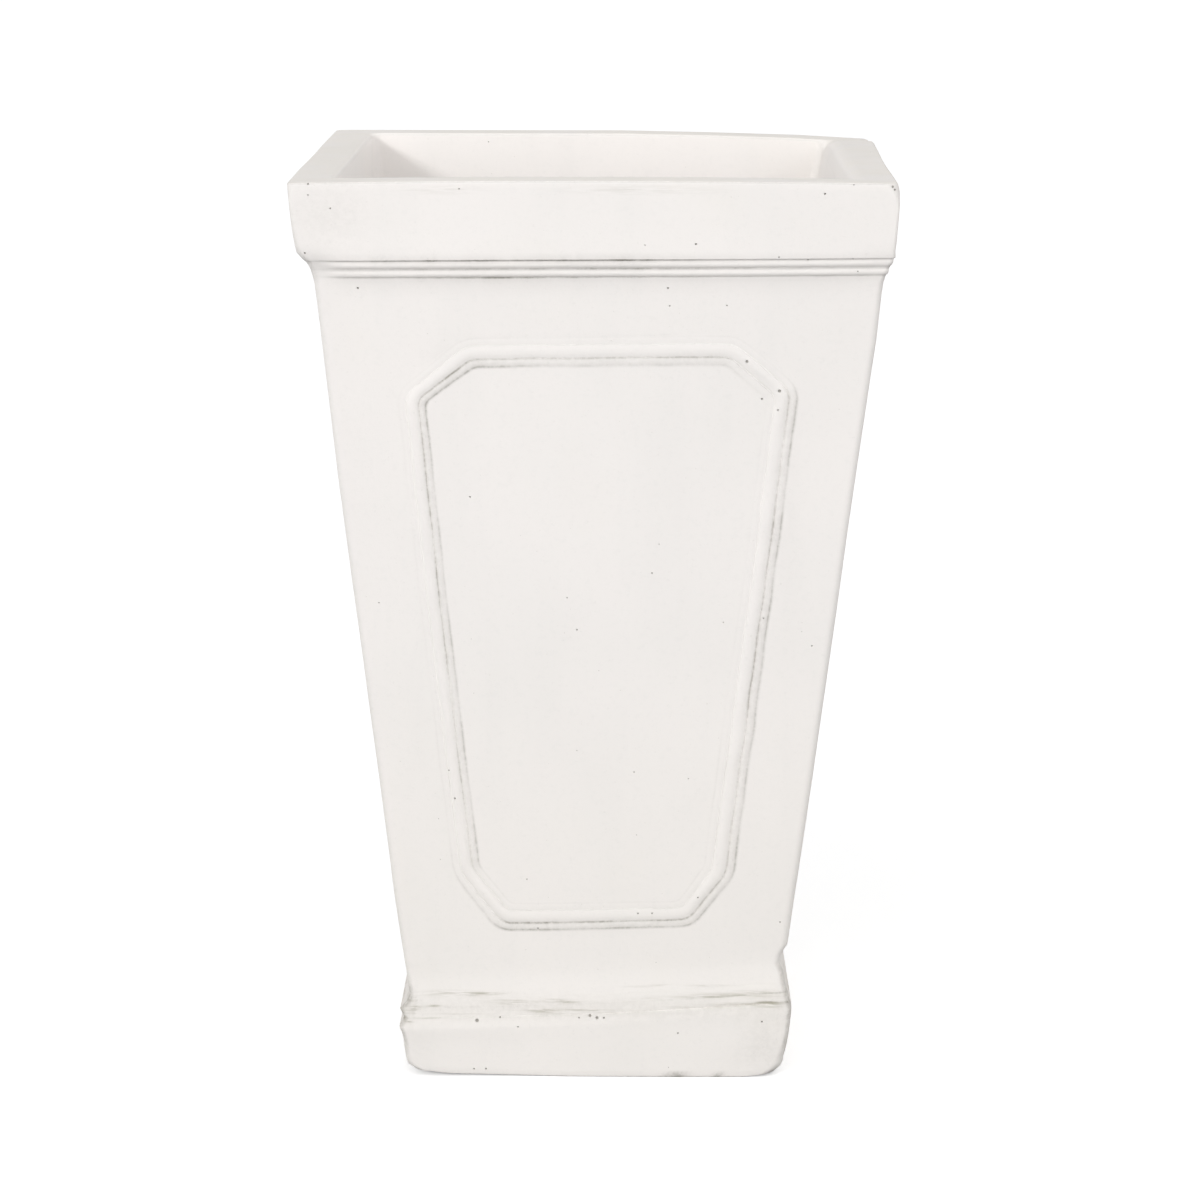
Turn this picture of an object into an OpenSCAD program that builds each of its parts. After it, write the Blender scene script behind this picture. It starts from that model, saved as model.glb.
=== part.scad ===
// Tall square planter, cast in layers: a moulded face coat, a backing coat with mats, a floor and a plug.
// The origin is at the centre of the base, on the ground, with +Z up. The front looks along -Y.

/* [Body] */
// Height from the ground to the top of the rim
planter_h = 600; // [420:10:900]
// Width of the body at the underside of the rim
body_top_w = 360; // [320:1:560]
// Width at which the body's sloping faces reach the ground
body_base_w = 235; // [200:1:320]
// How far each upright corner is cut back along its diagonal
corner_cut = 2.5; // [1:0.5:5]

/* [Rim] */
// Height of the plain band of the rim
rim_h = 46.5; // [25:0.5:80]
// How far the rim's lower edge stands out from the body
rim_stand = 6; // [3:0.5:12]
// How much further the rim's upper edge stands out than its lower edge
rim_draft = 4; // [0:0.5:10]
// How far the rim stands into the opening from the inside of the wall
lip_stand = 5; // [2:0.5:12]
// Height of the rim's upright inner face
lip_h = 44; // [25:1:70]
// Height of the slope from the rim's inner face back to the wall
lip_slope_h = 12; // [6:1:25]
// Radius of the rim's lower edge
rim_edge_r = 4; // [1:0.5:5]
// Radius of the rim's outer and inner top edges
rim_top_r = 2; // [0.5:0.5:4]

/* [Beads] */
// Height of each of the two beads under the rim
bead_h = 5.7; // [4:0.1:9]
// How far those beads stand out from the body
bead_stand = 2.2; // [1:0.1:2.8]

/* [Panel moulding] */
// Distance from the panel moulding to the upright corners
panel_side_gap = 42; // [25:1:60]
// Distance from the panel moulding to the underside of the rim
panel_top_gap = 51; // [25:1:90]
// Distance from the panel moulding to the foot of the body
panel_bottom_gap = 30; // [10:1:80]
// Width of the cut across each top corner of the panel
top_cut_w = 40; // [20:1:50]
// Height of the cut across each top corner of the panel
top_cut_h = 32; // [20:1:50]
// Width of the cut across each bottom corner of the panel
bottom_cut_w = 28; // [20:1:40]
// Height of the cut across each bottom corner of the panel
bottom_cut_h = 39; // [20:1:50]
// Width of the main bead of the moulding
main_bead_w = 8.6; // [6:0.2:12]
// How far the main bead stands out
main_bead_h = 3; // [2:0.1:3.5]
// Width of the small fillet on each side of the main bead
fillet_w = 4.9; // [3:0.1:7]
// How far the small fillets stand out
fillet_h = 1.5; // [0.8:0.1:1.8]

/* [Plinth] */
// Height of the plain face of the plinth
plinth_h = 46; // [25:1:80]
// How far the plinth stands out from the line of the body
plinth_stand = 7; // [4:0.5:12]
// Radius of the plinth's upper and lower edges
plinth_edge_r = 3; // [1:0.5:4]
// Height of each of the two beads on the plinth
plinth_bead_h = 6.8; // [5:0.2:9]
// How far the lower plinth bead stands out from the body
lower_bead_stand = 4.6; // [3:0.1:6]
// How far the upper plinth bead stands out from the body
upper_bead_stand = 2.8; // [2:0.1:3.2]
// Depth of the grooves beside the lower plinth bead
plinth_groove = 2; // [1:0.1:2.5]
// Height of the slope from the plinth beads to the plain body
foot_slope_h = 14; // [6:1:25]

/* [Layers] */
// Thickness of the face coat, measured level
face_coat = 5; // [4:0.5:7]
// Thickness of the backing coat, measured level
backing = 8; // [6:0.5:14]
// Thickness of the glass-fibre mats
mat_t = 1; // [0.5:0.1:1.5]
// Width of each leg of the corner strips
strip_w = 30; // [20:1:45]
// Gap between a corner strip and the mat beside it
mat_gap = 2; // [1:0.5:5]
// Distance from the ground to the lower edge of the wall mats
mat_base_gap = 20; // [10:1:40]
// Distance from the underside of the rim down to the upper edge of the wall mats
mat_top_gap = 8; // [4:1:30]

/* [Floor and drain] */
// Height of the open space under the floor
floor_rise = 8; // [5:1:15]
// Thickness of the floor slab
floor_t = 20; // [14:1:30]
// Margin from the floor mat to the edges of the floor and of the drain hole
floor_mat_margin = 12; // [8:1:20]
// Diameter of the drain hole
drain_d = 25; // [15:1:40]
// Radial clearance of the plug's stem in the drain hole
plug_clearance = 0.1; // [0.05:0.05:0.1]
// How far the plug's head reaches past the edge of the drain hole
plug_head_lap = 5.5; // [3:0.5:10]
// Thickness of the plug's head
plug_head_t = 5; // [3:0.5:8]
// Radius of the plug head's upper edge
plug_head_r = 2; // [0.5:0.5:2.5]
// How far the stem stops short of the underside of the floor
plug_short = 1; // [0.5:0.5:3]
// Length of the taper at the tip of the stem
plug_tip_h = 5; // [2:0.5:8]
// How much narrower the tip of the stem is, on the radius
plug_tip_draft = 1.2; // [0.5:0.1:2]

/* [Hidden] */

$fn = 64;
// Overshoot of a cut past the face that it opens
over = 1;
// How deep the feet of the panel moulding's rounds lie in the wall
moulding_bed = 0.4;
// Flats that stand for the round of each fillet and of the main bead
fillet_steps = 4;
main_bead_steps = 6;

paint_white = [0.94, 0.93, 0.91];
cement_grey = [0.72, 0.71, 0.69];
slab_grey = [0.66, 0.65, 0.63];
glass_fibre = [0.86, 0.90, 0.88];
rubber_black = [0.10, 0.10, 0.11];

// Body
rim_low_z = planter_h - rim_h;
body_slope = (body_top_w - body_base_w) / 2 / rim_low_z;
lean = atan(body_slope);
wall = face_coat + backing;
// Length of the bars that cross to make each square form, longer than the planter is wide
span = 2 * body_top_w;

// Rim
rim_low_half = body_top_w / 2 + rim_stand;
rim_top_half = rim_low_half + rim_draft;
mouth_half = body_top_w / 2 - wall - lip_stand;
lip_low_z = planter_h - lip_h;
bead_r = bead_h / 2;

// Plinth
upper_bead_z = plinth_h + plinth_bead_h;
foot_slope_z = plinth_h + 2 * plinth_bead_h;
foot_top_z = foot_slope_z + foot_slope_h;
plinth_bead_r = plinth_bead_h / 2;

// Floor
floor_top_z = floor_rise + floor_t;
drain_r = drain_d / 2;

// Half the width of the body at height z
function body_half(z) = body_base_w / 2 + body_slope * z;
// Half the width of the plinth at height z
function plinth_half(z) = body_half(z) + plinth_stand;
// Half the width of the rim at height z
function rim_half(z) = rim_low_half + rim_draft * (z - rim_low_z) / rim_h;

// A four-sided outline from right-hand points of [half width, height], mirrored to the left
function mirrored(points) = concat(points, [for (i = [len(points) - 1:-1:0]) [-points[i][0], points[i][1]]]);

// A solid with the same side view from the front and from the side, mitred at its four corners
module square_form() {
    intersection() {
        rotate([90, 0, 0]) linear_extrude(height = span, center = true) children();
        rotate([0, 0, 90]) rotate([90, 0, 0]) linear_extrude(height = span, center = true) children();
    }
}

// A pair of round edges in the side view: each circle touches the level line at edge_z and the sloping
// face that passes through face_x at edge_z and moves out by run for each unit of rise
module edge_rounds(face_x, edge_z, run, r, up) {
    centre_x = face_x + up * run * r - r * sqrt(1 + run * run);
    for (side = [-1, 1]) translate([side * centre_x, edge_z + up * r]) circle(r);
}

// The side view of a band between two heights with its four corners rounded
module rounded_band(low_x, low_z, top_x, top_z, low_r, top_r) {
    run = (top_x - low_x) / (top_z - low_z);
    slant = sqrt(1 + run * run);
    low_centre_x = low_x + run * low_r - low_r * slant;
    top_centre_x = top_x - run * top_r - top_r * slant;
    edge_rounds(low_x, low_z, run, low_r, 1);
    edge_rounds(top_x, top_z, run, top_r, -1);
    polygon(mirrored([
        [low_centre_x, low_z],
        [low_centre_x + low_r / slant, low_z + low_r - low_r * run / slant],
        [top_centre_x + top_r / slant, top_z - top_r - top_r * run / slant],
        [top_centre_x, top_z]
    ]));
}

// Two small rounds on the left and right of the side view, standing out from the body by stand
module bead_pair(centre_z, r, stand) {
    for (side = [-1, 1]) translate([side * (body_half(centre_z) + stand - r), centre_z]) circle(r);
}

// The side view of everything that the mould shapes
module outer_view() {
    polygon(mirrored([[body_half(0), 0], [body_half(rim_low_z + over), rim_low_z + over]]));
    rounded_band(rim_low_half, rim_low_z, rim_top_half, planter_h, rim_edge_r, rim_top_r);
    bead_pair(rim_low_z - bead_r, bead_r, bead_stand);
    bead_pair(rim_low_z - 3 * bead_r, bead_r, bead_stand);
    rounded_band(plinth_half(0), 0, plinth_half(plinth_h), plinth_h, plinth_edge_r, plinth_edge_r);
    bead_pair(plinth_h + plinth_bead_r, plinth_bead_r, lower_bead_stand);
    bead_pair(plinth_h + 3 * plinth_bead_r, plinth_bead_r, upper_bead_stand);
    polygon(mirrored([
        [body_half(plinth_h - over) + lower_bead_stand - plinth_groove, plinth_h - over],
        [body_half(upper_bead_z) + lower_bead_stand - plinth_groove, upper_bead_z],
        [body_half(foot_slope_z) + upper_bead_stand / 2, foot_slope_z],
        [body_half(foot_top_z), foot_top_z]
    ]));
}

// The half outline that cuts the corners: it runs along the outermost points of the side view
corner_line = [
    [plinth_half(0), 0],
    [plinth_half(plinth_h), plinth_h],
    [body_half(plinth_h) + lower_bead_stand, plinth_h],
    [body_half(upper_bead_z) + lower_bead_stand, upper_bead_z],
    [body_half(foot_slope_z) + upper_bead_stand, foot_slope_z],
    [body_half(foot_top_z + over), foot_top_z + over],
    [body_half(rim_low_z - 2 * bead_h), rim_low_z - 2 * bead_h],
    [body_half(rim_low_z - 2 * bead_h) + bead_stand, rim_low_z - 2 * bead_h],
    [body_half(rim_low_z) + bead_stand, rim_low_z],
    [rim_low_half, rim_low_z],
    [rim_top_half, planter_h]
];

// The space left inside the four corner cuts, seen along the diagonals
module inside_corner_cuts() {
    rotate([0, 0, 45]) square_form()
        polygon(mirrored([for (p = corner_line) [sqrt(2) * p[0] - corner_cut, p[1]]]));
}

// The space behind the face coat, including the floor and the inside
module behind_face() {
    square_form() polygon(mirrored([
        [body_half(-over) - face_coat, -over],
        [body_half(rim_low_z + face_coat) - face_coat, rim_low_z + face_coat],
        [rim_half(rim_low_z + face_coat) - face_coat, rim_low_z + face_coat],
        [rim_half(planter_h - face_coat) - face_coat, planter_h - face_coat]
    ]));
}

// The face coat where it turns over the rim and runs down inside the opening
module turned_lip() {
    translate([0, 0, lip_low_z]) linear_extrude(height = lip_h) square(2 * (mouth_half + face_coat), center = true);
}

// The open mouth inside the rim, with a rounded top edge
module mouth() {
    flare = mouth_half + rim_top_r;
    square_form() difference() {
        polygon(mirrored([
            [mouth_half, lip_low_z - over],
            [mouth_half, planter_h - rim_top_r],
            [flare, planter_h - rim_top_r],
            [flare, planter_h + over]
        ]));
        for (side = [-1, 1]) translate([side * flare, planter_h - rim_top_r]) circle(rim_top_r);
    }
}

// The inside of the walls, below the rim, from under the ground to the slope of the rim
module wall_inside() {
    slope_low_z = lip_low_z - lip_slope_h;
    square_form() polygon(mirrored([
        [body_half(-over) - wall, -over],
        [body_half(slope_low_z) - wall, slope_low_z],
        [mouth_half, lip_low_z],
        [mouth_half, lip_low_z + over]
    ]));
}

// The right-hand corners of the panel moulding's outer edge, in the plane of the sloping face
function along_face(z) = z / cos(lean);
function panel_side(z) = body_half(z) - panel_side_gap;
panel_low_z = foot_top_z + panel_bottom_gap;
panel_high_z = rim_low_z - panel_top_gap;
panel_right = [
    [panel_side(panel_low_z) - bottom_cut_w, along_face(panel_low_z)],
    [panel_side(panel_low_z + bottom_cut_h), along_face(panel_low_z + bottom_cut_h)],
    [panel_side(panel_high_z - top_cut_h), along_face(panel_high_z - top_cut_h)],
    [panel_side(panel_high_z) - top_cut_w, along_face(panel_high_z)]
];
panel_edge = mirrored(panel_right);

// Unit vector from a to b, and its left-hand normal
function heading(a, b) = (b - a) / norm(b - a);
function left_of(v) = [-v[1], v[0]];

// Corner i of a closed outline that turns left, moved inwards so that both its edges move in by d
function inset_corner(pts, i, d) =
    let (n = len(pts),
         into = heading(pts[(i + n - 1) % n], pts[i]),
         out = heading(pts[i], pts[(i + 1) % n]),
         normal_sum = left_of(into) + left_of(out))
    pts[i] + normal_sum * d / (1 + into * out);

// Points of one round cap of the moulding's section: [distance in from the outer edge, height]. The cap
// starts at from, is w wide and stands h out of the wall, and its feet lie in the wall by moulding_bed
function cap_points(from, w, h, steps) =
    let (rise = h + moulding_bed, r = (w * w / 4 + rise * rise) / (2 * rise), half_turn = asin(w / 2 / r))
    [for (i = [0:steps]) let (a = half_turn * (2 * i / steps - 1)) [from + w / 2 + r * sin(a), h - r + r * cos(a)]];

// The moulding's section: a main bead between two fillets, on a base that sinks into the wall
moulding_w = main_bead_w + 2 * fillet_w;
moulding_section = concat(
    cap_points(0, fillet_w, fillet_h, fillet_steps),
    cap_points(fillet_w, main_bead_w, main_bead_h, main_bead_steps),
    cap_points(fillet_w + main_bead_w, fillet_w, fillet_h, fillet_steps),
    [[moulding_w, -face_coat / 2], [0, -face_coat / 2]]
);

// The whole panel moulding on the face that looks along -Y: the section carried round the panel's eight
// corners and mitred at each
module panel_moulding() {
    corners = len(panel_edge);
    ring = len(moulding_section);
    points = [for (i = [0:corners - 1]) for (s = moulding_section)
        let (p = inset_corner(panel_edge, i, s[0])) [p[0], p[1], s[1]]];
    faces = [for (i = [0:corners - 1]) for (j = [0:ring - 1])
        let (next = (i + 1) % corners * ring, up = (j + 1) % ring)
        [i * ring + j, i * ring + up, next + up, next + j]];
    translate([0, -body_half(0), 0]) rotate([90 + lean, 0, 0]) polyhedron(points = points, faces = faces);
}

// The zone of the front wall between its two corner strips, drawn in by gap on each side
module wall_zone(gap) {
    rotate([90, 0, 0]) linear_extrude(height = span) polygon(mirrored([
        [body_half(0) - face_coat - strip_w - gap, 0],
        [body_half(rim_low_z) - face_coat - strip_w - gap, rim_low_z]
    ]));
}

// The thin square tube in which all the wall mats lie, against the back of the face coat
module mat_tube() {
    low_z = mat_base_gap;
    top_z = rim_low_z - mat_top_gap;
    difference() {
        square_form() polygon(mirrored([
            [body_half(low_z) - face_coat, low_z],
            [body_half(top_z) - face_coat, top_z]
        ]));
        square_form() polygon(mirrored([
            [body_half(low_z - over) - face_coat - mat_t, low_z - over],
            [body_half(top_z + over) - face_coat - mat_t, top_z + over]
        ]));
    }
}

// The mat of one wall: the front wall's, turned about the planter's middle
module wall_mat(turn) {
    color(glass_fibre) rotate([0, 0, turn]) intersection() {
        mat_tube();
        wall_zone(mat_gap);
    }
}

module face_casting() {
    color(paint_white) difference() {
        union() {
            intersection() {
                square_form() outer_view();
                inside_corner_cuts();
            }
            for (turn = [0, 90, 180, 270]) rotate([0, 0, turn]) panel_moulding();
        }
        difference() {
            behind_face();
            turned_lip();
        }
        mouth();
    }
}

module backing_coat() {
    color(cement_grey) difference() {
        intersection() {
            behind_face();
            translate([0, 0, planter_h / 2]) cube([span, span, planter_h], center = true);
        }
        turned_lip();
        wall_inside();
        mouth();
        for (turn = [0, 90, 180, 270]) wall_mat(turn);
        corner_mats();
    }
}

module front_mat() {
    wall_mat(0);
}

module right_mat() {
    wall_mat(90);
}

module back_mat() {
    wall_mat(180);
}

module left_mat() {
    wall_mat(270);
}

module corner_mats() {
    color(glass_fibre) difference() {
        mat_tube();
        for (turn = [0, 90, 180, 270]) rotate([0, 0, turn]) wall_zone(0);
    }
}

module floor_slab() {
    color(slab_grey) difference() {
        square_form() polygon(mirrored([
            [body_half(floor_rise) - wall, floor_rise],
            [body_half(floor_top_z) - wall, floor_top_z]
        ]));
        translate([0, 0, floor_rise - over]) cylinder(h = floor_t + 2 * over, r = drain_r);
        floor_mat();
    }
}

module floor_mat() {
    mat_w = 2 * (body_half(floor_rise) - wall - floor_mat_margin);
    mid_z = floor_rise + (floor_t - mat_t) / 2;
    color(glass_fibre) translate([0, 0, mid_z]) linear_extrude(height = mat_t) difference() {
        square(mat_w, center = true);
        circle(drain_r + floor_mat_margin);
    }
}

module drain_plug() {
    stem_r = drain_r - plug_clearance;
    head_r = drain_r + plug_head_lap;
    tip_z = floor_rise + plug_short;
    head_top_z = floor_top_z + plug_head_t;
    color(rubber_black) rotate_extrude() {
        polygon([
            [0, tip_z],
            [stem_r - plug_tip_draft, tip_z],
            [stem_r, tip_z + plug_tip_h],
            [stem_r, floor_top_z],
            [head_r, floor_top_z],
            [head_r, head_top_z - plug_head_r],
            [head_r - plug_head_r, head_top_z],
            [0, head_top_z]
        ]);
        translate([head_r - plug_head_r, head_top_z - plug_head_r]) circle(plug_head_r);
    }
}

face_casting();
backing_coat();
front_mat();
back_mat();
left_mat();
right_mat();
corner_mats();
floor_slab();
floor_mat();
drain_plug();
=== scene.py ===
"""A tall square planter, cast by hand in layers and painted off-white, in a plain studio.

Every piece is a surface worked out with numpy, in metres, in the packed model's own frame: the origin is at
the centre of the base, +Z is up and the front looks along -Y.
"""

import math

import bpy
import numpy as np
from bpy.props import FloatProperty, FloatVectorProperty, PointerProperty
from mathutils import Euler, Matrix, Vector


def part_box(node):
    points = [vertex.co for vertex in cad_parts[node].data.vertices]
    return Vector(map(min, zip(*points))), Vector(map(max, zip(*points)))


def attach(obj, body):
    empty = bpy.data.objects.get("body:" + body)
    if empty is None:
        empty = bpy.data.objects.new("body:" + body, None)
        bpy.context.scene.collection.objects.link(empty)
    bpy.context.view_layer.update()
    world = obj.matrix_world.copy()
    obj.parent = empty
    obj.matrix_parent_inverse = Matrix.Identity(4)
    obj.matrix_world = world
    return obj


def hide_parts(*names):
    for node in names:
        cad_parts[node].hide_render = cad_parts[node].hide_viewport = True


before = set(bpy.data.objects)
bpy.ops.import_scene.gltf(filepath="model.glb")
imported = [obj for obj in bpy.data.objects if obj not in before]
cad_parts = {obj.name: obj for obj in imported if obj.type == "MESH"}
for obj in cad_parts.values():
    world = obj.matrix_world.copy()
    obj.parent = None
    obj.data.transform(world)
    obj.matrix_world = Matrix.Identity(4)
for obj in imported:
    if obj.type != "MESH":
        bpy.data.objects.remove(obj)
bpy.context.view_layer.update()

bl_info = {
    "name": "Cast Garden Planter",
    "version": (1, 0, 0),
    "blender": (4, 5, 0),
    "location": "3D View > Sidebar > Planter",
    "description": "Builds a tall tapered planter with beads, panel mouldings, a floor and a drain plug",
    "category": "Add Mesh",
}

TOP_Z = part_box("face_casting")[1].z
FLOOR_LOW, FLOOR_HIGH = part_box("floor_slab")
PLUG_LOW, PLUG_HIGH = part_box("drain_plug")
SIDES = ("front", "right", "back", "left")
# Radius of the drain hole and of the wall's inner corners, and how far the floor is keyed into the walls
DRAIN_R = 0.0125
INSIDE_R = 0.006
FLOOR_KEY = 0.001
MAT_THICKNESS = 0.001
# The plug: its clearance in the hole, the length and the depth of its taper, the round and the dish of its
# head, the bevel of its tip and its brim, and the radius of the last ring round each pole
PLUG_CLEARANCE = 0.0001
PLUG_TIP = 0.005
PLUG_TAPER = 0.0012
PLUG_EDGE_R = 0.002
PLUG_DISH = 0.0006
PLUG_TIP_BEVEL = 0.0008
PLUG_BRIM_R = 0.0006
PLUG_POLE = 0.0005
# Columns along each side and round each corner, of the outer skin and of the pieces inside
OUTSIDE_COLUMNS = (88, 7)
INSIDE_COLUMNS = (56, 8)
# Width of the photograph in pixels and of the camera's sensor in millimetres
PICTURE_WIDTH = 1200
SENSOR = 36


# ---------------------------------------------------------------------------------------------------------
# What a user would change
# ---------------------------------------------------------------------------------------------------------

def length(name, description, default):
    """A length in metres that the sidebar shows."""
    return FloatProperty(name=name, description=description, default=default, unit="LENGTH", precision=4)


def amount(name, description, default, **options):
    """Any other number that the sidebar shows."""
    return FloatProperty(name=name, description=description, default=default, **options)


def tone(red, green, blue):
    """A colour written from 0 to 255, as linear light."""
    level = np.array([red, green, blue]) / 255
    return tuple(np.where(level <= 0.04045, level / 12.92, ((level + 0.055) / 1.055) ** 2.4))


def colour(name, description, default):
    """A colour that the sidebar shows."""
    return FloatVectorProperty(
        name=name, description=description, default=tone(*default), subtype="COLOR", min=0, max=1
    )


class PlanterShape(bpy.types.PropertyGroup):
    """The sizes of the casting."""

    body_top: length("Body width at the top", "Width of the body at the underside of the rim", 0.360)
    body_base: length("Body width at the base", "Width at which the body's faces reach the ground", 0.235)
    corner: length("Corner radius", "Radius of the body's upright corners", 0.005)
    rim_height: length("Rim height", "Height of the plain band of the rim", 0.0465)
    rim_stand: length("Rim stand", "How far the rim's lower edge stands out from the body", 0.006)
    rim_draft: length("Rim draft", "How much further the rim's upper edge stands out", 0.004)
    rim_low_r: length("Rim lower edge", "Radius of the rim's lower edge", 0.0009)
    rim_top_r: length("Rim top edge", "Radius of the rim's outer top edge", 0.0013)
    lip_stand: length("Lip stand", "How far the rim stands into the opening", 0.005)
    lip_height: length("Lip height", "Height of the rim's upright inner face", 0.044)
    lip_slope: length("Lip slope", "Height of the slope from the rim's inner face to the wall", 0.012)
    bead_height: length("Bead height", "Height of each bead under the rim", 0.0057)
    rim_upper_bead: length("Upper rim bead", "How far the upper bead under the rim stands out", 0.0046)
    rim_lower_bead: length("Lower rim bead", "How far the lower bead under the rim stands out", 0.0030)
    rim_groove: length("Rim groove", "How far the groove between those beads stands out", 0.0030)
    plinth_height: length("Plinth height", "Height of the plain face of the plinth", 0.046)
    plinth_stand: length("Plinth stand", "How far the plinth stands out from the body's line", 0.007)
    plinth_r: length("Plinth top edge", "Radius of the plinth's upper edge", 0.003)
    plinth_low_r: length("Plinth bottom edge", "Radius of the plinth's lower edge", 0.0012)
    plinth_bead: length("Plinth bead height", "Height of each bead on the plinth", 0.0068)
    lower_bead: length("Lower bead stand", "How far the lower plinth bead stands out", 0.0046)
    upper_bead: length("Upper bead stand", "How far the upper plinth bead stands out", 0.0028)
    groove: length("Plinth groove", "Depth of the grooves beside the lower plinth bead", 0.002)
    foot_slope: length("Foot slope", "Height of the slope from the plinth beads to the body", 0.014)
    face_coat: length("Face coat", "Thickness of the face coat", 0.005)
    backing: length("Backing coat", "Thickness of the backing coat", 0.008)


class PlanterPanel(bpy.types.PropertyGroup):
    """The sizes of the panel mouldings."""

    side_gap: length("Side gap", "Distance from the moulding to the upright corners", 0.042)
    top_gap: length("Top gap", "Distance from the moulding to the underside of the rim", 0.051)
    bottom_gap: length("Bottom gap", "Distance from the moulding to the foot of the body", 0.030)
    top_cut_w: length("Top cut width", "Width of the cut across each top corner", 0.040)
    top_cut_h: length("Top cut height", "Height of the cut across each top corner", 0.032)
    bottom_cut_w: length("Bottom cut width", "Width of the cut across each bottom corner", 0.028)
    bottom_cut_h: length("Bottom cut height", "Height of the cut across each bottom corner", 0.039)
    bead_w: length("Main bead width", "Width of the main bead", 0.0086)
    bead_h: length("Main bead height", "How far the main bead stands out", 0.0011)
    fillet_w: length("Fillet width", "Width of the small fillet on each side of the bead", 0.0049)
    fillet_h: length("Fillet height", "How far the small fillets stand out", 0.0007)


class PlanterHand(bpy.types.PropertyGroup):
    """How far the hand-made casting strays from its drawing."""

    waves: length("Waviness", "Height of the slow waves in the walls", 0.00035)
    wave_length: length("Wave length", "Distance from one slow wave to the next", 0.22)
    rim_bow: length("Rim bow", "How far the front of the rim rises in its middle", 0.0016)
    rim_droop: length("Rim droop", "How far the rim's back right corner hangs", 0.0059)
    rim_taper: length("Rim taper", "How much narrower the rim's front is than its back at the right", 0.0016)
    rim_sag: length("Rim sag", "How far the front of the rim has sunk", 0.0005)
    corner_blur: length("Corner softness", "How far the mouldings melt together at the corners", 0.0055)
    corner_lift: length("Worn feet", "How far the bottom edge rises at the corners", 0.0015)
    trowel: length("Trowel marks", "Height of the trowel marks on the inside", 0.0007)


class PlanterColours(bpy.types.PropertyGroup):
    """The colours of the finishes."""

    paint: colour("Paint", "Off-white paint", (241, 237, 234))
    paint_shade: colour("Paint shade", "Cooler clouds in the paint", (235, 232, 229))
    # this colour also paints shade: low down, on slopes that face up, under the grooves, on the upright
    # corners and on flanks that face away from the light
    wash: colour("Antique wash", "Grey wash in the grooves", (122, 118, 106))
    smear: colour("Smear", "Thin brownish wash wiped over the plinth", (178, 174, 160))
    aged: colour("Aged paint", "Yellowed paint on top of the rim and in patches", (233, 226, 206))
    cement: colour("Cement", "Bare fibre cement", (186, 183, 177))
    cement_dark: colour("Damp cement", "Darker clouds in the bare cement", (158, 155, 149))
    floor: colour("Floor mix", "Bare floor of the planter", (171, 168, 162))
    fibre: colour("Glass fibre", "Glass-fibre mats", (224, 229, 224))
    rubber: colour("Rubber", "Black rubber of the plug", (32, 32, 34))


class PlanterStudio(bpy.types.PropertyGroup):
    """The camera and the lamps."""

    camera: FloatVectorProperty(
        name="Camera",
        description="Place of the camera",
        default=(0.0373, -2.5826, 0.8358),
        subtype="TRANSLATION",
    )
    turn: amount("Turn", "How far the camera turns to its left", math.radians(0.797), subtype="ANGLE")
    tilt: amount("Tilt", "How far the camera looks down", math.radians(11.77), subtype="ANGLE")
    lens: amount("Lens", "Focal length in millimetres", 116.37)
    sky_low: amount("Low sky", "Strength of the soft light from the sides", 1.40)
    sky_high: amount("High sky", "Strength of the soft light from above", 0.08)
    sky_front: amount("Front sky", "How much stronger the light from the front is", 0.27)
    sky_right: amount("Right sky", "How much stronger the light from the right is", 0.17)
    key: amount("Key power", "Power of the lamp at the upper left", 253, unit="POWER")
    key_heading: FloatVectorProperty(
        name="Key heading",
        description="Direction from the planter to the left lamp",
        default=(-0.50, -0.75, 0.33),
    )
    key_size: length("Key size", "Width of the lamp at the upper left", 1.26)
    fill: amount("Fill power", "Power of the lamp at the upper right", 30, unit="POWER")
    fill_heading: FloatVectorProperty(
        name="Fill heading",
        description="Direction from the planter to the right lamp",
        default=(0.55, -0.75, 0.38),
    )
    fill_size: length("Fill size", "Width of the lamp at the upper right", 2.0)
    lamp_distance: length("Lamp distance", "Distance from the planter's middle to each lamp", 9.0)
    floor_size: length("Floor size", "Side of the square floor", 40.0)
    floor_tone: amount("Floor tone", "Share of the light that the floor gives back", 0.30)
    floor_glow: amount("Floor glow", "What keeps the bare floor white", 0.3)


SETTINGS = {
    "planter_shape": PlanterShape,
    "planter_panel": PlanterPanel,
    "planter_hand": PlanterHand,
    "planter_colours": PlanterColours,
    "planter_studio": PlanterStudio,
}


# ---------------------------------------------------------------------------------------------------------
# Surfaces
# ---------------------------------------------------------------------------------------------------------

def smooth(low, high, value):
    """0 up to low, 1 from high on, and an S curve between them. Where low is above high it runs downwards."""
    t = np.clip((value - low) / (high - low), 0, 1)
    return t * t * (3 - 2 * t)


def ripples(points, wavelength, seed, waves=14):
    """A random field that varies smoothly in space and is about 1 high: the sum of plane waves in seeded
    directions, each about one wavelength long."""
    random = np.random.default_rng(seed)
    heading = random.normal(size=(waves, 3))
    heading /= np.linalg.norm(heading, axis=1, keepdims=True)
    turns = heading / (wavelength * random.uniform(0.7, 1.4, (waves, 1)))
    phase = random.uniform(0, 2 * np.pi, waves)
    return np.sin(2 * np.pi * points @ turns.T + phase).sum(axis=-1) * math.sqrt(2 / waves)


def body_slope(shape):
    """How far one side of the body moves out for each metre of height."""
    return (shape.body_top - shape.body_base) / 2 / (TOP_Z - shape.rim_height)


def body_half(shape, z):
    """Half the width of the plain body at height z."""
    return shape.body_base / 2 + body_slope(shape) * z


def stretch(start, stop, step):
    """Evenly spaced points on a straight line, from start up to but not including stop."""
    start, stop = np.array(start), np.array(stop)
    count = max(1, math.ceil(np.linalg.norm(stop - start) / step))
    return start + (stop - start) * (np.arange(count) / count)[:, None]


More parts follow.
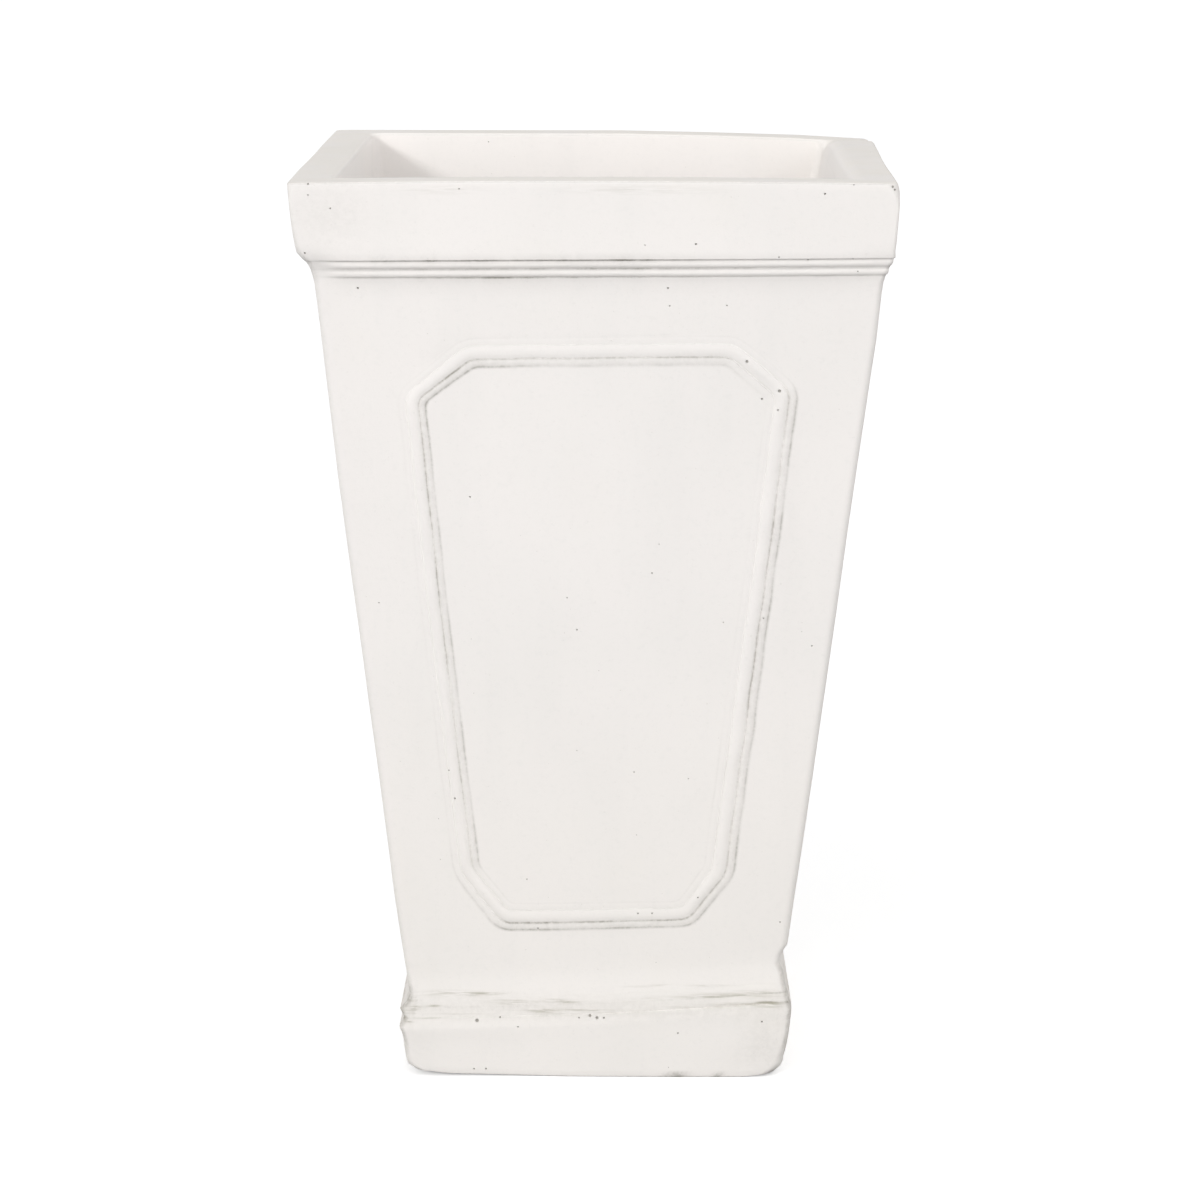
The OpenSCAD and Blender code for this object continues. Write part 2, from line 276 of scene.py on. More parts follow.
def bend(centre, radius, start, stop, step):
    """Points on an arc from the angle start up to but not including stop, in degrees from level outwards."""
    count = max(2, math.ceil(abs(math.radians(stop - start)) * radius / step))
    angle = np.radians(start + (stop - start) * np.arange(count) / count)
    return np.array(centre) + radius * np.stack([np.cos(angle), np.sin(angle)], axis=1)


def edge_centre(face_x, edge_z, run, radius, up):
    """Centre of a round edge between the level line at edge_z and a face that passes through face_x there
    and moves out by run for each unit of rise. up is 1 for a lower edge and -1 for an upper one."""
    return (face_x + up * run * radius - radius * math.hypot(1, run), edge_z + up * radius)


def cap(z, centre, radius, stand):
    """Relief of a round bead: the circle's half chord at each height, or far inside where it has none."""
    chord = radius**2 - (z - centre) ** 2
    return np.where(chord > 0, stand - radius + np.sqrt(np.maximum(chord, 0)), -1)


def bead_lines(shape):
    """Heights of the grooves beside the beads: three under the rim and three over the plinth."""
    rim_z = TOP_Z - shape.rim_height
    under_rim = [rim_z - k * shape.bead_height for k in range(3)]
    over_plinth = [shape.plinth_height + k * shape.plinth_bead for k in range(3)]
    return under_rim, over_plinth


def relief(shape, z):
    """How far the beads and slopes stand out from the body at height z: the largest of four round beads, of a
    broken line that falls from the plinth's groove to the body, and of one that rises from it to the rim."""
    neck_slope = 0.006
    (rim_z, rim_mid, rim_foot), (low, middle, high) = bead_lines(shape)
    rim_bead = shape.bead_height / 2
    bead = shape.plinth_bead / 2
    floor = shape.lower_bead - shape.groove
    foot = np.interp(z, [low, middle, high, high + shape.foot_slope], [floor, floor, shape.upper_bead / 2, 0])
    groove = shape.rim_groove
    neck_z = [rim_foot - neck_slope, rim_foot, rim_mid, rim_z]
    neck = np.interp(z, neck_z, [0, 0.4 * groove, groove, 1.5 * groove])
    caps = [
        cap(z, low + bead, bead, shape.lower_bead),
        cap(z, middle + bead, bead, shape.upper_bead),
        cap(z, rim_z - rim_bead, rim_bead, shape.rim_upper_bead),
        cap(z, rim_z - 3 * rim_bead, rim_bead, shape.rim_lower_bead),
    ]
    return np.maximum.reduce([foot, neck, *caps])


def wall_heights(shape):
    """Heights of the rings between the plinth and the rim, close together where the beads are and where the
    outline is dented just above the plinth."""
    fine, coarse = 0.00045, 0.008
    beside, dented = 0.002, 0.016
    (rim_z, _, bead_foot), (plinth_top, _, bead_top) = bead_lines(shape)
    slope_top = bead_top + shape.foot_slope
    return np.concatenate([
        np.arange(plinth_top, bead_top + beside, fine),
        np.arange(bead_top + beside, slope_top, 1.6 * fine),
        np.arange(slope_top, slope_top + dented, coarse / 4),
        np.arange(slope_top + dented, bead_foot - beside, coarse),
        np.arange(bead_foot - beside, rim_z, fine),
    ])


def face_point(centre, radius, lean):
    """The point where a round edge meets its sloping face."""
    angle = math.radians(-lean)
    return (centre[0] + radius * math.cos(angle), centre[1] + radius * math.sin(angle))


def face_profile(shape):
    """The face coat's closed cross-section as rows of half width and height: in under the plinth, up the
    outside, in over the rim, down the lip and back down behind."""
    run = body_slope(shape)
    lean = math.degrees(math.atan(run))
    rim_z = TOP_Z - shape.rim_height
    plinth_z = shape.plinth_height
    back = body_half(shape, 0) - shape.face_coat
    low = edge_centre(body_half(shape, 0) + shape.plinth_stand, 0, run, shape.plinth_low_r, 1)
    high = edge_centre(body_half(shape, plinth_z) + shape.plinth_stand, plinth_z, run, shape.plinth_r, -1)
    rim_low_half = body_half(shape, rim_z) + shape.rim_stand
    rim_top_half = rim_low_half + shape.rim_draft
    rim_run = shape.rim_draft / shape.rim_height
    rim_lean = math.degrees(math.atan(rim_run))
    rim_low = edge_centre(rim_low_half, rim_z, rim_run, shape.rim_low_r, 1)
    rim_top = edge_centre(rim_top_half, TOP_Z, rim_run, shape.rim_top_r, -1)
    mouth = body_half(shape, rim_z) - shape.face_coat - shape.backing - shape.lip_stand
    edge_r = max(MOUTH_EDGE_R)
    lip_low = TOP_Z - shape.lip_height
    behind_top = TOP_Z - shape.face_coat
    behind_low = rim_z + shape.face_coat
    heights = wall_heights(shape)
    wall = np.stack([body_half(shape, heights) + relief(shape, heights), heights], axis=1)
    # steps between the rings: on round edges, near them, on plain faces, under the plinth and the lip, and
    # on the hidden side behind the rim and behind the wall
    fine, close, plain = 0.0006, 0.0011, 0.0042
    under_plinth, under_lip = 0.003, 0.0025
    behind_rim, behind_wall = 0.02, 0.14
    upper_z = plinth_z - PLINTH_UPPER_FACE
    upper = (body_half(shape, upper_z) + shape.plinth_stand, upper_z)
    parts = [
        stretch((back, 0), (low[0], 0), under_plinth),
        bend(low, shape.plinth_low_r, -90, -lean, fine),
        stretch(face_point(low, shape.plinth_low_r, lean), upper, plain),
        stretch(upper, face_point(high, shape.plinth_r, lean), close),
        bend(high, shape.plinth_r, -lean, 90, fine),
        wall,
        stretch((body_half(shape, rim_z) + relief(shape, rim_z), rim_z), (rim_low[0], rim_z), fine),
        bend(rim_low, shape.rim_low_r, -90, -rim_lean, fine),
        stretch(
            face_point(rim_low, shape.rim_low_r, rim_lean),
            face_point(rim_top, shape.rim_top_r, rim_lean),
            plain,
        ),
        bend(rim_top, shape.rim_top_r, -rim_lean, 90, fine),
        stretch((rim_top[0], TOP_Z), (mouth + edge_r, TOP_Z), plain),
        stretch((mouth + edge_r, TOP_Z), (mouth, TOP_Z), close),
        stretch((mouth, TOP_Z), (mouth, TOP_Z - edge_r), close),
        stretch((mouth, TOP_Z - edge_r), (mouth, lip_low), plain),
        stretch((mouth, lip_low), (mouth + shape.face_coat, lip_low), under_lip),
        stretch((mouth + shape.face_coat, lip_low), (mouth + shape.face_coat, behind_top), behind_rim),
        stretch(
            (mouth + shape.face_coat, behind_top),
            (rim_top_half - shape.face_coat, behind_top),
            behind_rim,
        ),
        stretch(
            (rim_top_half - shape.face_coat, behind_top),
            (rim_low_half - shape.face_coat, behind_low),
            behind_rim,
        ),
        stretch(
            (rim_low_half - shape.face_coat, behind_low),
            (body_half(shape, behind_low) - shape.face_coat, behind_low),
            behind_rim,
        ),
        stretch((body_half(shape, behind_low) - shape.face_coat, behind_low), (back, 0), behind_wall),
    ]
    # the first ten parts are the outer face, from under the plinth up to the rim's top edge
    outside = sum(len(part) for part in parts[:10])
    return np.concatenate(parts), outside


def square_columns(straight, arc):
    """Columns round a square with rounded corners, anticlockwise from the front left. Each column has a point
    on the edge of the unit square and the direction in which the corner's round moves it out."""
    # the columns lie closer together near the corners, as the sine of evenly spaced angles does
    crowding = 0.86
    along = np.linspace(-1, 1, straight)
    along = np.sin(along * np.pi / 2 * crowding) / math.sin(np.pi / 2 * crowding)
    angle = np.linspace(0, np.pi / 2, arc + 2)[1:-1]
    core = np.concatenate([np.stack([along, -np.ones(straight)], 1), np.tile([1.0, -1.0], (arc, 1))])
    round_corner = np.stack([np.sin(angle), -np.cos(angle)], 1)
    outward = np.concatenate([np.tile([0.0, -1.0], (straight, 1)), round_corner])
    quarters = np.arange(4) * np.pi / 2
    turns = [np.array([[math.cos(a), math.sin(a)], [-math.sin(a), math.cos(a)]]) for a in quarters]
    return np.concatenate([core @ t for t in turns]), np.concatenate([outward @ t for t in turns])


def square_rings(half, height, radius, columns):
    """Rings round a rounded square: the unit square's edge scaled by the half width less the radius, plus the
    radius along each column's own direction."""
    core, outward = columns
    flat = (half - radius)[..., None] * core + radius[..., None] * outward
    return np.concatenate([flat, np.broadcast_to(height[..., None], flat.shape[:2] + (1,))], axis=2)


def round_mouth(shape, profile, columns):
    """Half widths and heights of the face coat's rings with the mouth's inner edge rounded. A point at the
    distance s along the section from the edge, within the radius r of its column, goes to the angle
    45 degrees x (1 + s / r) of a circle of that radius."""
    half, z = (np.repeat(line[:, None], len(columns[0]), axis=1) for line in profile.T)
    mouth = body_half(shape, TOP_Z - shape.rim_height) - shape.face_coat - shape.backing - shape.lip_stand
    x, y = columns[1].T
    front, right, back, left = MOUTH_EDGE_R
    radius = np.where(y < 0, front, back) * y**2 + np.where(x > 0, right, left) * x**2
    away = (TOP_Z - z) - (half - mouth)
    on_edge = (np.abs(half - mouth) < 1e-6) | (np.abs(z - TOP_Z) < 1e-6)
    near = on_edge & (np.abs(away) < radius) & (half < mouth + 2 * radius)
    angle = np.pi / 4 * (1 + away / radius)
    half = np.where(near, mouth + radius * (1 - np.sin(angle)), half)
    z = np.where(near, TOP_Z - radius * (1 - np.cos(angle)), z)
    return half, z


def corner_values(x, y, values):
    """A value given at the front left, front right, back right and back left corner, and blended along the
    sides. x and y run from -1 to 1."""
    front_left, front_right, back_right, back_left = values
    across, deep = (np.clip(x, -1, 1) + 1) / 2, (np.clip(y, -1, 1) + 1) / 2
    front = front_left + (front_right - front_left) * across
    back = back_left + (back_right - back_left) * across
    return front + (back - front) * deep


# ---------------------------------------------------------------------------------------------------------
# How this one casting strays from its drawing
# ---------------------------------------------------------------------------------------------------------

# How far the beads melt together at the four corners, from the front left round to the back left, under the
# rim and on the plinth
CORNER_SOFTNESS = (0.95, 0.35, 0.60, 0.70)
PLINTH_SOFTNESS = (0.90, 0.95, 0.90, 0.85)
# Radius of the upright corners at heights from the ground up, for each corner in the same order
CORNER_R_Z = (0, 0.008, 0.030, 0.060, 0.530, 0.552, 0.585, 0.600)
CORNER_R = (
    (0.0060, 0.0050, 0.0045, 0.0045, 0.0050, 0.0055, 0.0018, 0.0045),
    (0.0110, 0.0070, 0.0045, 0.0050, 0.0045, 0.0030, 0.0018, 0.0085),
    (0.0060, 0.0060, 0.0050, 0.0050, 0.0050, 0.0050, 0.0060, 0.0080),
    (0.0060, 0.0060, 0.0050, 0.0050, 0.0050, 0.0050, 0.0040, 0.0050),
)
# Radius of the mouth's upright corners in the same order, and of its top edge on the front, the right, the
# back and the left
MOUTH_R = (0.006, 0.007, 0.006, 0.007)
MOUTH_EDGE_R = (0.0020, 0.0125, 0.0020, 0.0036)
# How far the right side of the opening was laid towards the middle at its front and back, and how it leans
MOUTH_LAID = (0.0035, 0.0060)
MOUTH_LEAN = 0.15
# How far the body stands to the right of the base's middle, at heights from the ground up
SIDEWAYS_Z = (0, 0.046, 0.062, 0.540, 0.552, 0.558)
SIDEWAYS_X = (-0.0004, -0.0004, -0.0013, 0.0023, 0.0023, 0)
# How far the left and right outlines stray outwards, at heights from the ground up
LEFT_Z = (
    0, 0.003, 0.010, 0.018, 0.029, 0.0345, 0.040, 0.0455, 0.0515, 0.057, 0.0615, 0.068,
    0.086, 0.127, 0.160, 0.208, 0.289, 0.350, 0.410, 0.500, 0.540, 0.5535, 0.570, 0.600,
)
LEFT_OUT = (
    -0.0080, -0.0010, -0.0001, -0.0002, -0.0006, -0.0004, 0.0008, -0.0018, 0.0018, -0.0028, -0.0045, -0.0030,
    -0.0022, -0.0009, -0.0012, -0.0014, -0.0008, 0.0001, 0.0003, -0.0012, -0.0019, -0.0019, -0.0004, -0.0004,
)
RIGHT_Z = (
    0, 0.003, 0.007, 0.013, 0.018, 0.030, 0.045, 0.062, 0.067, 0.0725, 0.078, 0.082,
    0.086, 0.127, 0.210, 0.370, 0.450, 0.500, 0.537, 0.550, 0.560, 0.585, 0.594, 0.600,
)
RIGHT_OUT = (
    -0.0056, -0.0031, -0.0003, -0.0006, 0, 0.0011, 0.0016, 0.0008, -0.0004, -0.0030, -0.0025, -0.0010,
    0.0009, 0.0003, 0.0010, 0.0008, 0.0015, 0.0015, -0.0004, -0.0003, 0.0006, 0.0010, 0.0006, -0.0012,
)
# How far the beads rise or fall at the four corners, from the front left round to the back left, and how far
# the beads on the plinth sag in the middle of each side
PLINTH_BEAD_RISE = (-0.0048, 0.0080, -0.0020, 0.0030)
RIM_BEAD_RISE = (-0.0031, -0.0009, -0.0015, -0.0002)
PLINTH_BEAD_SAG = 0.0024
# How far the plinth's bottom edge rises towards the front left corner
FRONT_LEFT_LIFT = 0.0016
# Height of the upper part of the plinth's face, whose rings lie closer together
PLINTH_UPPER_FACE = 0.016
# How the back of the rim hangs from its middle to its right corner, as shares of the corner's own droop
HANG_X = (0.015, 0.075, 0.140, 0.190)
HANG = (0.00, 0.20, 0.52, 1.00)


def sideways(z):
    """How far the casting leans to the right at height z."""
    return np.interp(z, SIDEWAYS_Z, SIDEWAYS_X)


def mouth_laid(shape, x, y, z):
    """How far a point at the right side of the opening was laid towards the middle. The casting's outer face
    stays where it is, and so does the wall well below the rim."""
    front, back = MOUTH_LAID
    # it grows from the middle to the right corners, and from the casting's outer face inwards
    inwards = np.maximum(np.abs(x), np.abs(y)) - body_half(shape, z)
    beside = smooth(0.090, 0.158, x) * smooth(-0.001, -0.012, inwards)
    laid = front + (back - front) * smooth(-0.16, 0.16, y) + MOUTH_LEAN * np.clip(TOP_Z - z, 0, 0.044)
    return laid * beside * smooth(0.46, 0.53, z)


def hand_cast(points, shape, hand):
    """Moves points as the hand-made casting strays: slow waves everywhere, a body that leans sideways,
    outlines that stray, an opening laid out of true, beads that rise and fall from corner to corner, a bowed
    rim with one hanging corner, worn feet, and a bottom edge that rises to the front left."""
    x, y, z = points[..., 0], points[..., 1], points[..., 2]
    half = body_half(shape, z) + shape.plinth_stand
    across, deep = x / half, y / half
    top = smooth(0.55, TOP_Z, z)
    front = (1 - deep) / 2
    moved = points.copy()
    # the slow waves fade out up and down near the ground and the top, so that both stay level
    for axis in range(3):
        fixed = smooth(0, 0.06, z) * smooth(TOP_Z, TOP_Z - 0.1, z) if axis == 2 else 1
        moved[..., axis] += hand.waves * fixed * ripples(points, hand.wave_length, seed=axis)
    # to the side: the strayed outlines, the lean, the rim's taper and the right side of the opening
    left = np.interp(z, LEFT_Z, LEFT_OUT) * smooth(-0.5, -1, across)
    right = np.interp(z, RIGHT_Z, RIGHT_OUT) * smooth(0.5, 1, across)
    taper = hand.rim_taper * smooth(0.168, 0.184, x) * front * top
    moved[..., 0] += sideways(z) + right - left - taper - mouth_laid(shape, x, y, z)

    # up and down: the beads, then the rim's bow and its hanging corner, then the foot
    sag = PLINTH_BEAD_SAG * (1 - np.clip(across * deep, -1, 1) ** 2)
    plinth = smooth(0.020, 0.042, z) * smooth(0.150, 0.078, z)
    beads = smooth(0.490, 0.541, z) * smooth(0.570, 0.555, z)
    rise = plinth * (corner_values(across, deep, PLINTH_BEAD_RISE) - sag)
    rise += beads * corner_values(across, deep, RIM_BEAD_RISE)
    bow = hand.rim_bow * (1 - np.clip(across, -1, 1) ** 2) - hand.rim_sag
    rise += top * bow * np.clip(front, 0, 1) ** 2
    rise -= top * hand.rim_droop * np.interp(x, HANG_X, HANG) * smooth(0.095, 0.17, y)
    rise += hand.corner_lift * smooth(0.02, 0, z) * smooth(0.80, 0.96, np.abs(across * deep))
    rise += FRONT_LEFT_LIFT * smooth(0.04, 0, z) * smooth(0, -1, across) * smooth(0, -1, deep)
    moved[..., 2] += rise
    return moved


# ---------------------------------------------------------------------------------------------------------
# Meshes
# ---------------------------------------------------------------------------------------------------------

def grid_faces(rows, columns):
    """Quads of a grid that closes on itself both ways."""
    row, column = np.meshgrid(np.arange(rows), np.arange(columns), indexing="ij")
    up, on = (row + 1) % rows, (column + 1) % columns
    corners = [row * columns + column, row * columns + on, up * columns + on, up * columns + column]
    return np.stack(corners, axis=-1).reshape(-1, 4)


def add_mesh(name, points, faces, finish, slot, body, **attributes):
    """Makes an object of the points and faces, with a number at each point for every attribute."""
    mesh = bpy.data.meshes.new(name)
    mesh.from_pydata(points.reshape(-1, 3).astype(float), [], faces)
    mesh.polygons.foreach_set("use_smooth", np.ones(len(mesh.polygons), bool))
    for attribute, values in attributes.items():
        layer = mesh.attributes.new(attribute, "FLOAT", "POINT")
        layer.data.foreach_set("value", np.asarray(values, np.float32).ravel())
    mesh.materials.append(finish)
    mesh.validate()
    mesh.update()
    piece = bpy.data.objects.new(name, mesh)
    bpy.context.scene.collection.objects.link(piece)
    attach(piece, body)
    return piece


# ---------------------------------------------------------------------------------------------------------
# What the photograph shows on the front, in its pixels
# ---------------------------------------------------------------------------------------------------------

# Larger pits in the paint: across, down, radius
RIM_PITS = (
    (825, 194, 1.3), (696, 244, 1.3), (305, 253, 1.1), (459, 189, 0.9), (308, 184, 1.3), (308, 195, 0.8),
    (854, 185, 0.8), (893, 187, 1.4), (895, 190, 1.2), (779, 257, 0.9), (808, 260, 0.8), (853, 259, 0.8),
    (858, 272, 0.9), (645, 245, 0.7),
)
BODY_PITS = (
    (668, 288, 1.2), (358, 288, 1.3), (747, 361.5, 1.8), (779.5, 391, 2.0), (778, 410, 1.1), (762, 399, 1.3),
    (470, 497, 1.0), (652, 573, 0.9), (538, 928, 1.0), (638, 913, 1.1), (652, 913, 1.1), (698, 897, 1.0),
    (812, 646, 1.0), (449, 770, 1.0), (455, 798, 1.3),
)
PLINTH_PITS = (
    (477, 1021, 2.3), (500, 1018, 1.1), (518, 1027, 1.0), (474, 1069, 1.1), (486, 1069, 1.2),
    (678, 1033, 1.0), (762, 1022, 1.1), (579, 1018, 1.0), (590, 1016, 1.8), (597, 1018, 1.9),
    (604, 1018, 1.2),
)
# Smears of wash wiped over the plinth, and two along the top of the rim's band: middle across, down, half
# width, half height, strength
FRONT_SMEARS = (
    (455, 995.5, 30, 2.8, 0.62), (479, 995, 11, 1.3, 1.02), (498, 995, 8, 1.2, 0.51),
    (446, 993, 14, 1.4, 0.34), (508, 1001.5, 20, 1.0, 0.51), (512, 1004, 20, 1.2, 0.77),
    (556, 1001.5, 20, 1.6, 0.77), (566, 1003, 12, 1.2, 0.51), (542, 1011, 22, 3.0, 0.68),
    (588, 1010, 28, 0.9, 0.85), (606, 1013, 12, 1.2, 0.51), (660, 986.5, 9, 0.9, 0.51),
    (708, 987, 20, 1.0, 0.48), (640, 988, 16, 1.0, 0.26), (735, 996.5, 48, 2.6, 0.62),
    (760, 993, 26, 1.4, 0.59), (700, 998, 26, 1.0, 0.59), (650, 999, 24, 0.9, 0.37),
    (742, 1005, 34, 2.2, 0.62), (768, 1003, 12, 1.9, 1.27), (690, 1007, 34, 0.8, 0.37),
    (434, 1006.5, 7, 1.1, 1.02), (417, 1008.5, 7, 1.9, 0.77), (410, 1021, 4, 1.2, 1.27),
    (403, 1018, 3, 2.4, 1.30), (458, 1014, 26, 0.9, 0.34), (430, 1018, 16, 0.8, 0.34),
    (770, 1006, 10, 1.2, 0.68), (640, 190, 62, 1.1, 0.22), (455, 190.5, 40, 0.6, 0.30),
)
# Patches where the paint is a little greyer, and dark marks on the bottom edge, in the same form
GREY_PATCHES = (
    (330, 215, 44, 34, 0.070), (764, 1044, 24, 24, 0.100), (738, 1058, 22, 14, 0.030),
    (420, 1045, 16, 24, 0.030), (372, 258, 40, 6, 0.050), (350, 272, 26, 8, 0.060),
    (470, 277, 60, 4, 0.035), (600, 262, 60, 5, 0.025), (434, 1073.8, 16, 1.7, 0.80),
    (675, 1075.6, 11, 1.7, 1.00), (717, 1075.6, 5, 1.5, 0.80), (777, 1072.6, 10, 2.0, 0.70),
    (600, 1009, 330, 14, 0.105), (560, 342, 90, 4, 0.030), (448, 355, 22, 10, 0.035),
    (560, 925, 70, 4, 0.040), (790, 540, 12, 120, 0.020),
)
# Rows of the picture above which the rim lies, and below which the plinth and its beads lie
RIM_ROW = 260
PLINTH_ROW = 980
# How much softer the smears and patches are on the other three sides, and how far they are shifted from one
# side to the next
OTHER_SIDES_SOFTER = 1.7
OTHER_SIDES_SHIFT = 0.03


# The wash in each groove on the front, from the one under the rim down, as shares at places from left to
# right
RIM_WASH_X = (-0.162, -0.140, -0.108, -0.071, -0.033, 0.004, 0.042, 0.080, 0.117, 0.149, 0.174)
PLINTH_WASH_X = (-0.120, -0.100, -0.060, -0.030, 0.010, 0.045, 0.075, 0.095, 0.120)
GROOVE_WASH = (
    (RIM_WASH_X, (0.00, 0.10, 0.66, 0.50, 0.46, 0.80, 0.55, 0.05, 0.03, 0.06, 0.00)),
    (RIM_WASH_X, (0.04, 0.06, 0.24, 0.40, 0.28, 0.50, 0.44, 0.24, 0.14, 0.13, 0.12)),
    (RIM_WASH_X, (0.00, 0.10, 0.20, 0.56, 0.56, 0.26, 0.27, 0.14, 0.02, 0.08, 0.10)),
    (PLINTH_WASH_X, (0.04, 0.00, 0.00, 0.00, 0.00, 0.00, 0.05, 0.03, 0.02)),
    (PLINTH_WASH_X, (0.00, 0.06, 0.05, 0.06, 0.02, 0.06, 0.14, 0.20, 0.28)),
    (PLINTH_WASH_X, (0.10, 0.08, 0.06, 0.10, 0.10, 0.05, 0.06, 0.14, 0.28)),
)
# Half width of the wash in the grooves under the rim and over the plinth, and its share on the other sides
GROOVE_WIDTHS = (0.00050, 0.00060)
GROOVE_SHARES = (0.34, 0.10)
# How far the beads on the plinth are worn away, at places from the front's left corner to its right one, and
# on the other sides
WORN_X = (-0.125, -0.070, 0.000, 0.060, 0.125)
WORN_SHARE = (0.97, 0.93, 0.84, 0.76, 0.55)
WORN_ELSEWHERE = 0.4

# How far the front panel moulding's eight corners lie from the drawing, and its width there as a share of the
# drawing's, anticlockwise from the lower right
FRONT_STRAY = (
    (0.0046, 0.0010), (-0.0010, -0.0020), (-0.0002, -0.0013), (-0.0016, 0.0006),
    (0.0106, -0.0017), (0.0053, -0.0042), (-0.0008, -0.0011), (-0.0046, 0.0009),
)
FRONT_BREADTH = (1.00, 1.08, 1.00, 1.02, 1.00, 0.92, 0.92, 0.95)
# How far the left side of that moulding bows outwards in its middle, between two heights
FRONT_BOW = 0.0012
BOW_Z = (0.17, 0.48)
# How much flatter the mouldings are on their level parts, as a share of their height
LEVEL_PRESS = 0.62
# Where its inner edge is nearly wiped out: across, height, the reach of both, and the share that is gone
WIPED = (0.0945, 0.470, 0.022, 0.018, 0.75)
# The wash in the mouldings' grooves: half width of its dark line and of the soft haze round it, the haze's
# share of the line's strength, and the share of painted shade on the fillets that face from the light
LINE_HALF = 0.0006
HAZE_HALF = 0.0024
HAZE_SHARE = 0.18
FILLET_SHADE = 0.055
# How much more wash the upper part of the front's left side holds
UPPER_LEFT_EXTRA = 0.6
# Wash along the outer edge of the rim's top, on the front and on the other sides
TOP_EDGE_WASH = (0.09, 0.11)


def view_axes(studio):
    """The camera's right, up and forward directions, from its turn to the left and its tilt down."""
    turn, tilt = studio.turn, studio.tilt
    right = np.array([math.cos(turn), math.sin(turn), 0])
    forward = np.array([-math.sin(turn) * math.cos(tilt), math.cos(turn) * math.cos(tilt), -math.sin(tilt)])
    return right, np.cross(right, forward), forward


def seen_on_front(studio, shape, across, down, stand):
    """Where the camera's ray through a pixel meets the sloping front, moved out by stand: its x and z."""
    right, up, forward = view_axes(studio)
    focal = studio.lens / SENSOR * PICTURE_WIDTH
    ray = forward + right * (across - PICTURE_WIDTH / 2) / focal + up * (PICTURE_WIDTH / 2 - down) / focal
    x, y, z = studio.camera
    slope = body_slope(shape)
    far = -(shape.body_base / 2 + stand + slope * z + y) / (ray[1] + slope * ray[2])
    return x + far * ray[0], z + far * ray[2]


def pixel_size(studio, shape):
    """The width in metres of one of the photograph's pixels on the front."""
    return (-studio.camera[1] - shape.body_top / 2) / (studio.lens / SENSOR * PICTURE_WIDTH)


def rim_stand_mid(shape):
    """How far the middle of the rim's band stands out from the body's line."""
    return shape.rim_stand + shape.rim_draft / 2 - body_slope(shape) * shape.rim_height / 2


# ---------------------------------------------------------------------------------------------------------
# Finishes
# ---------------------------------------------------------------------------------------------------------

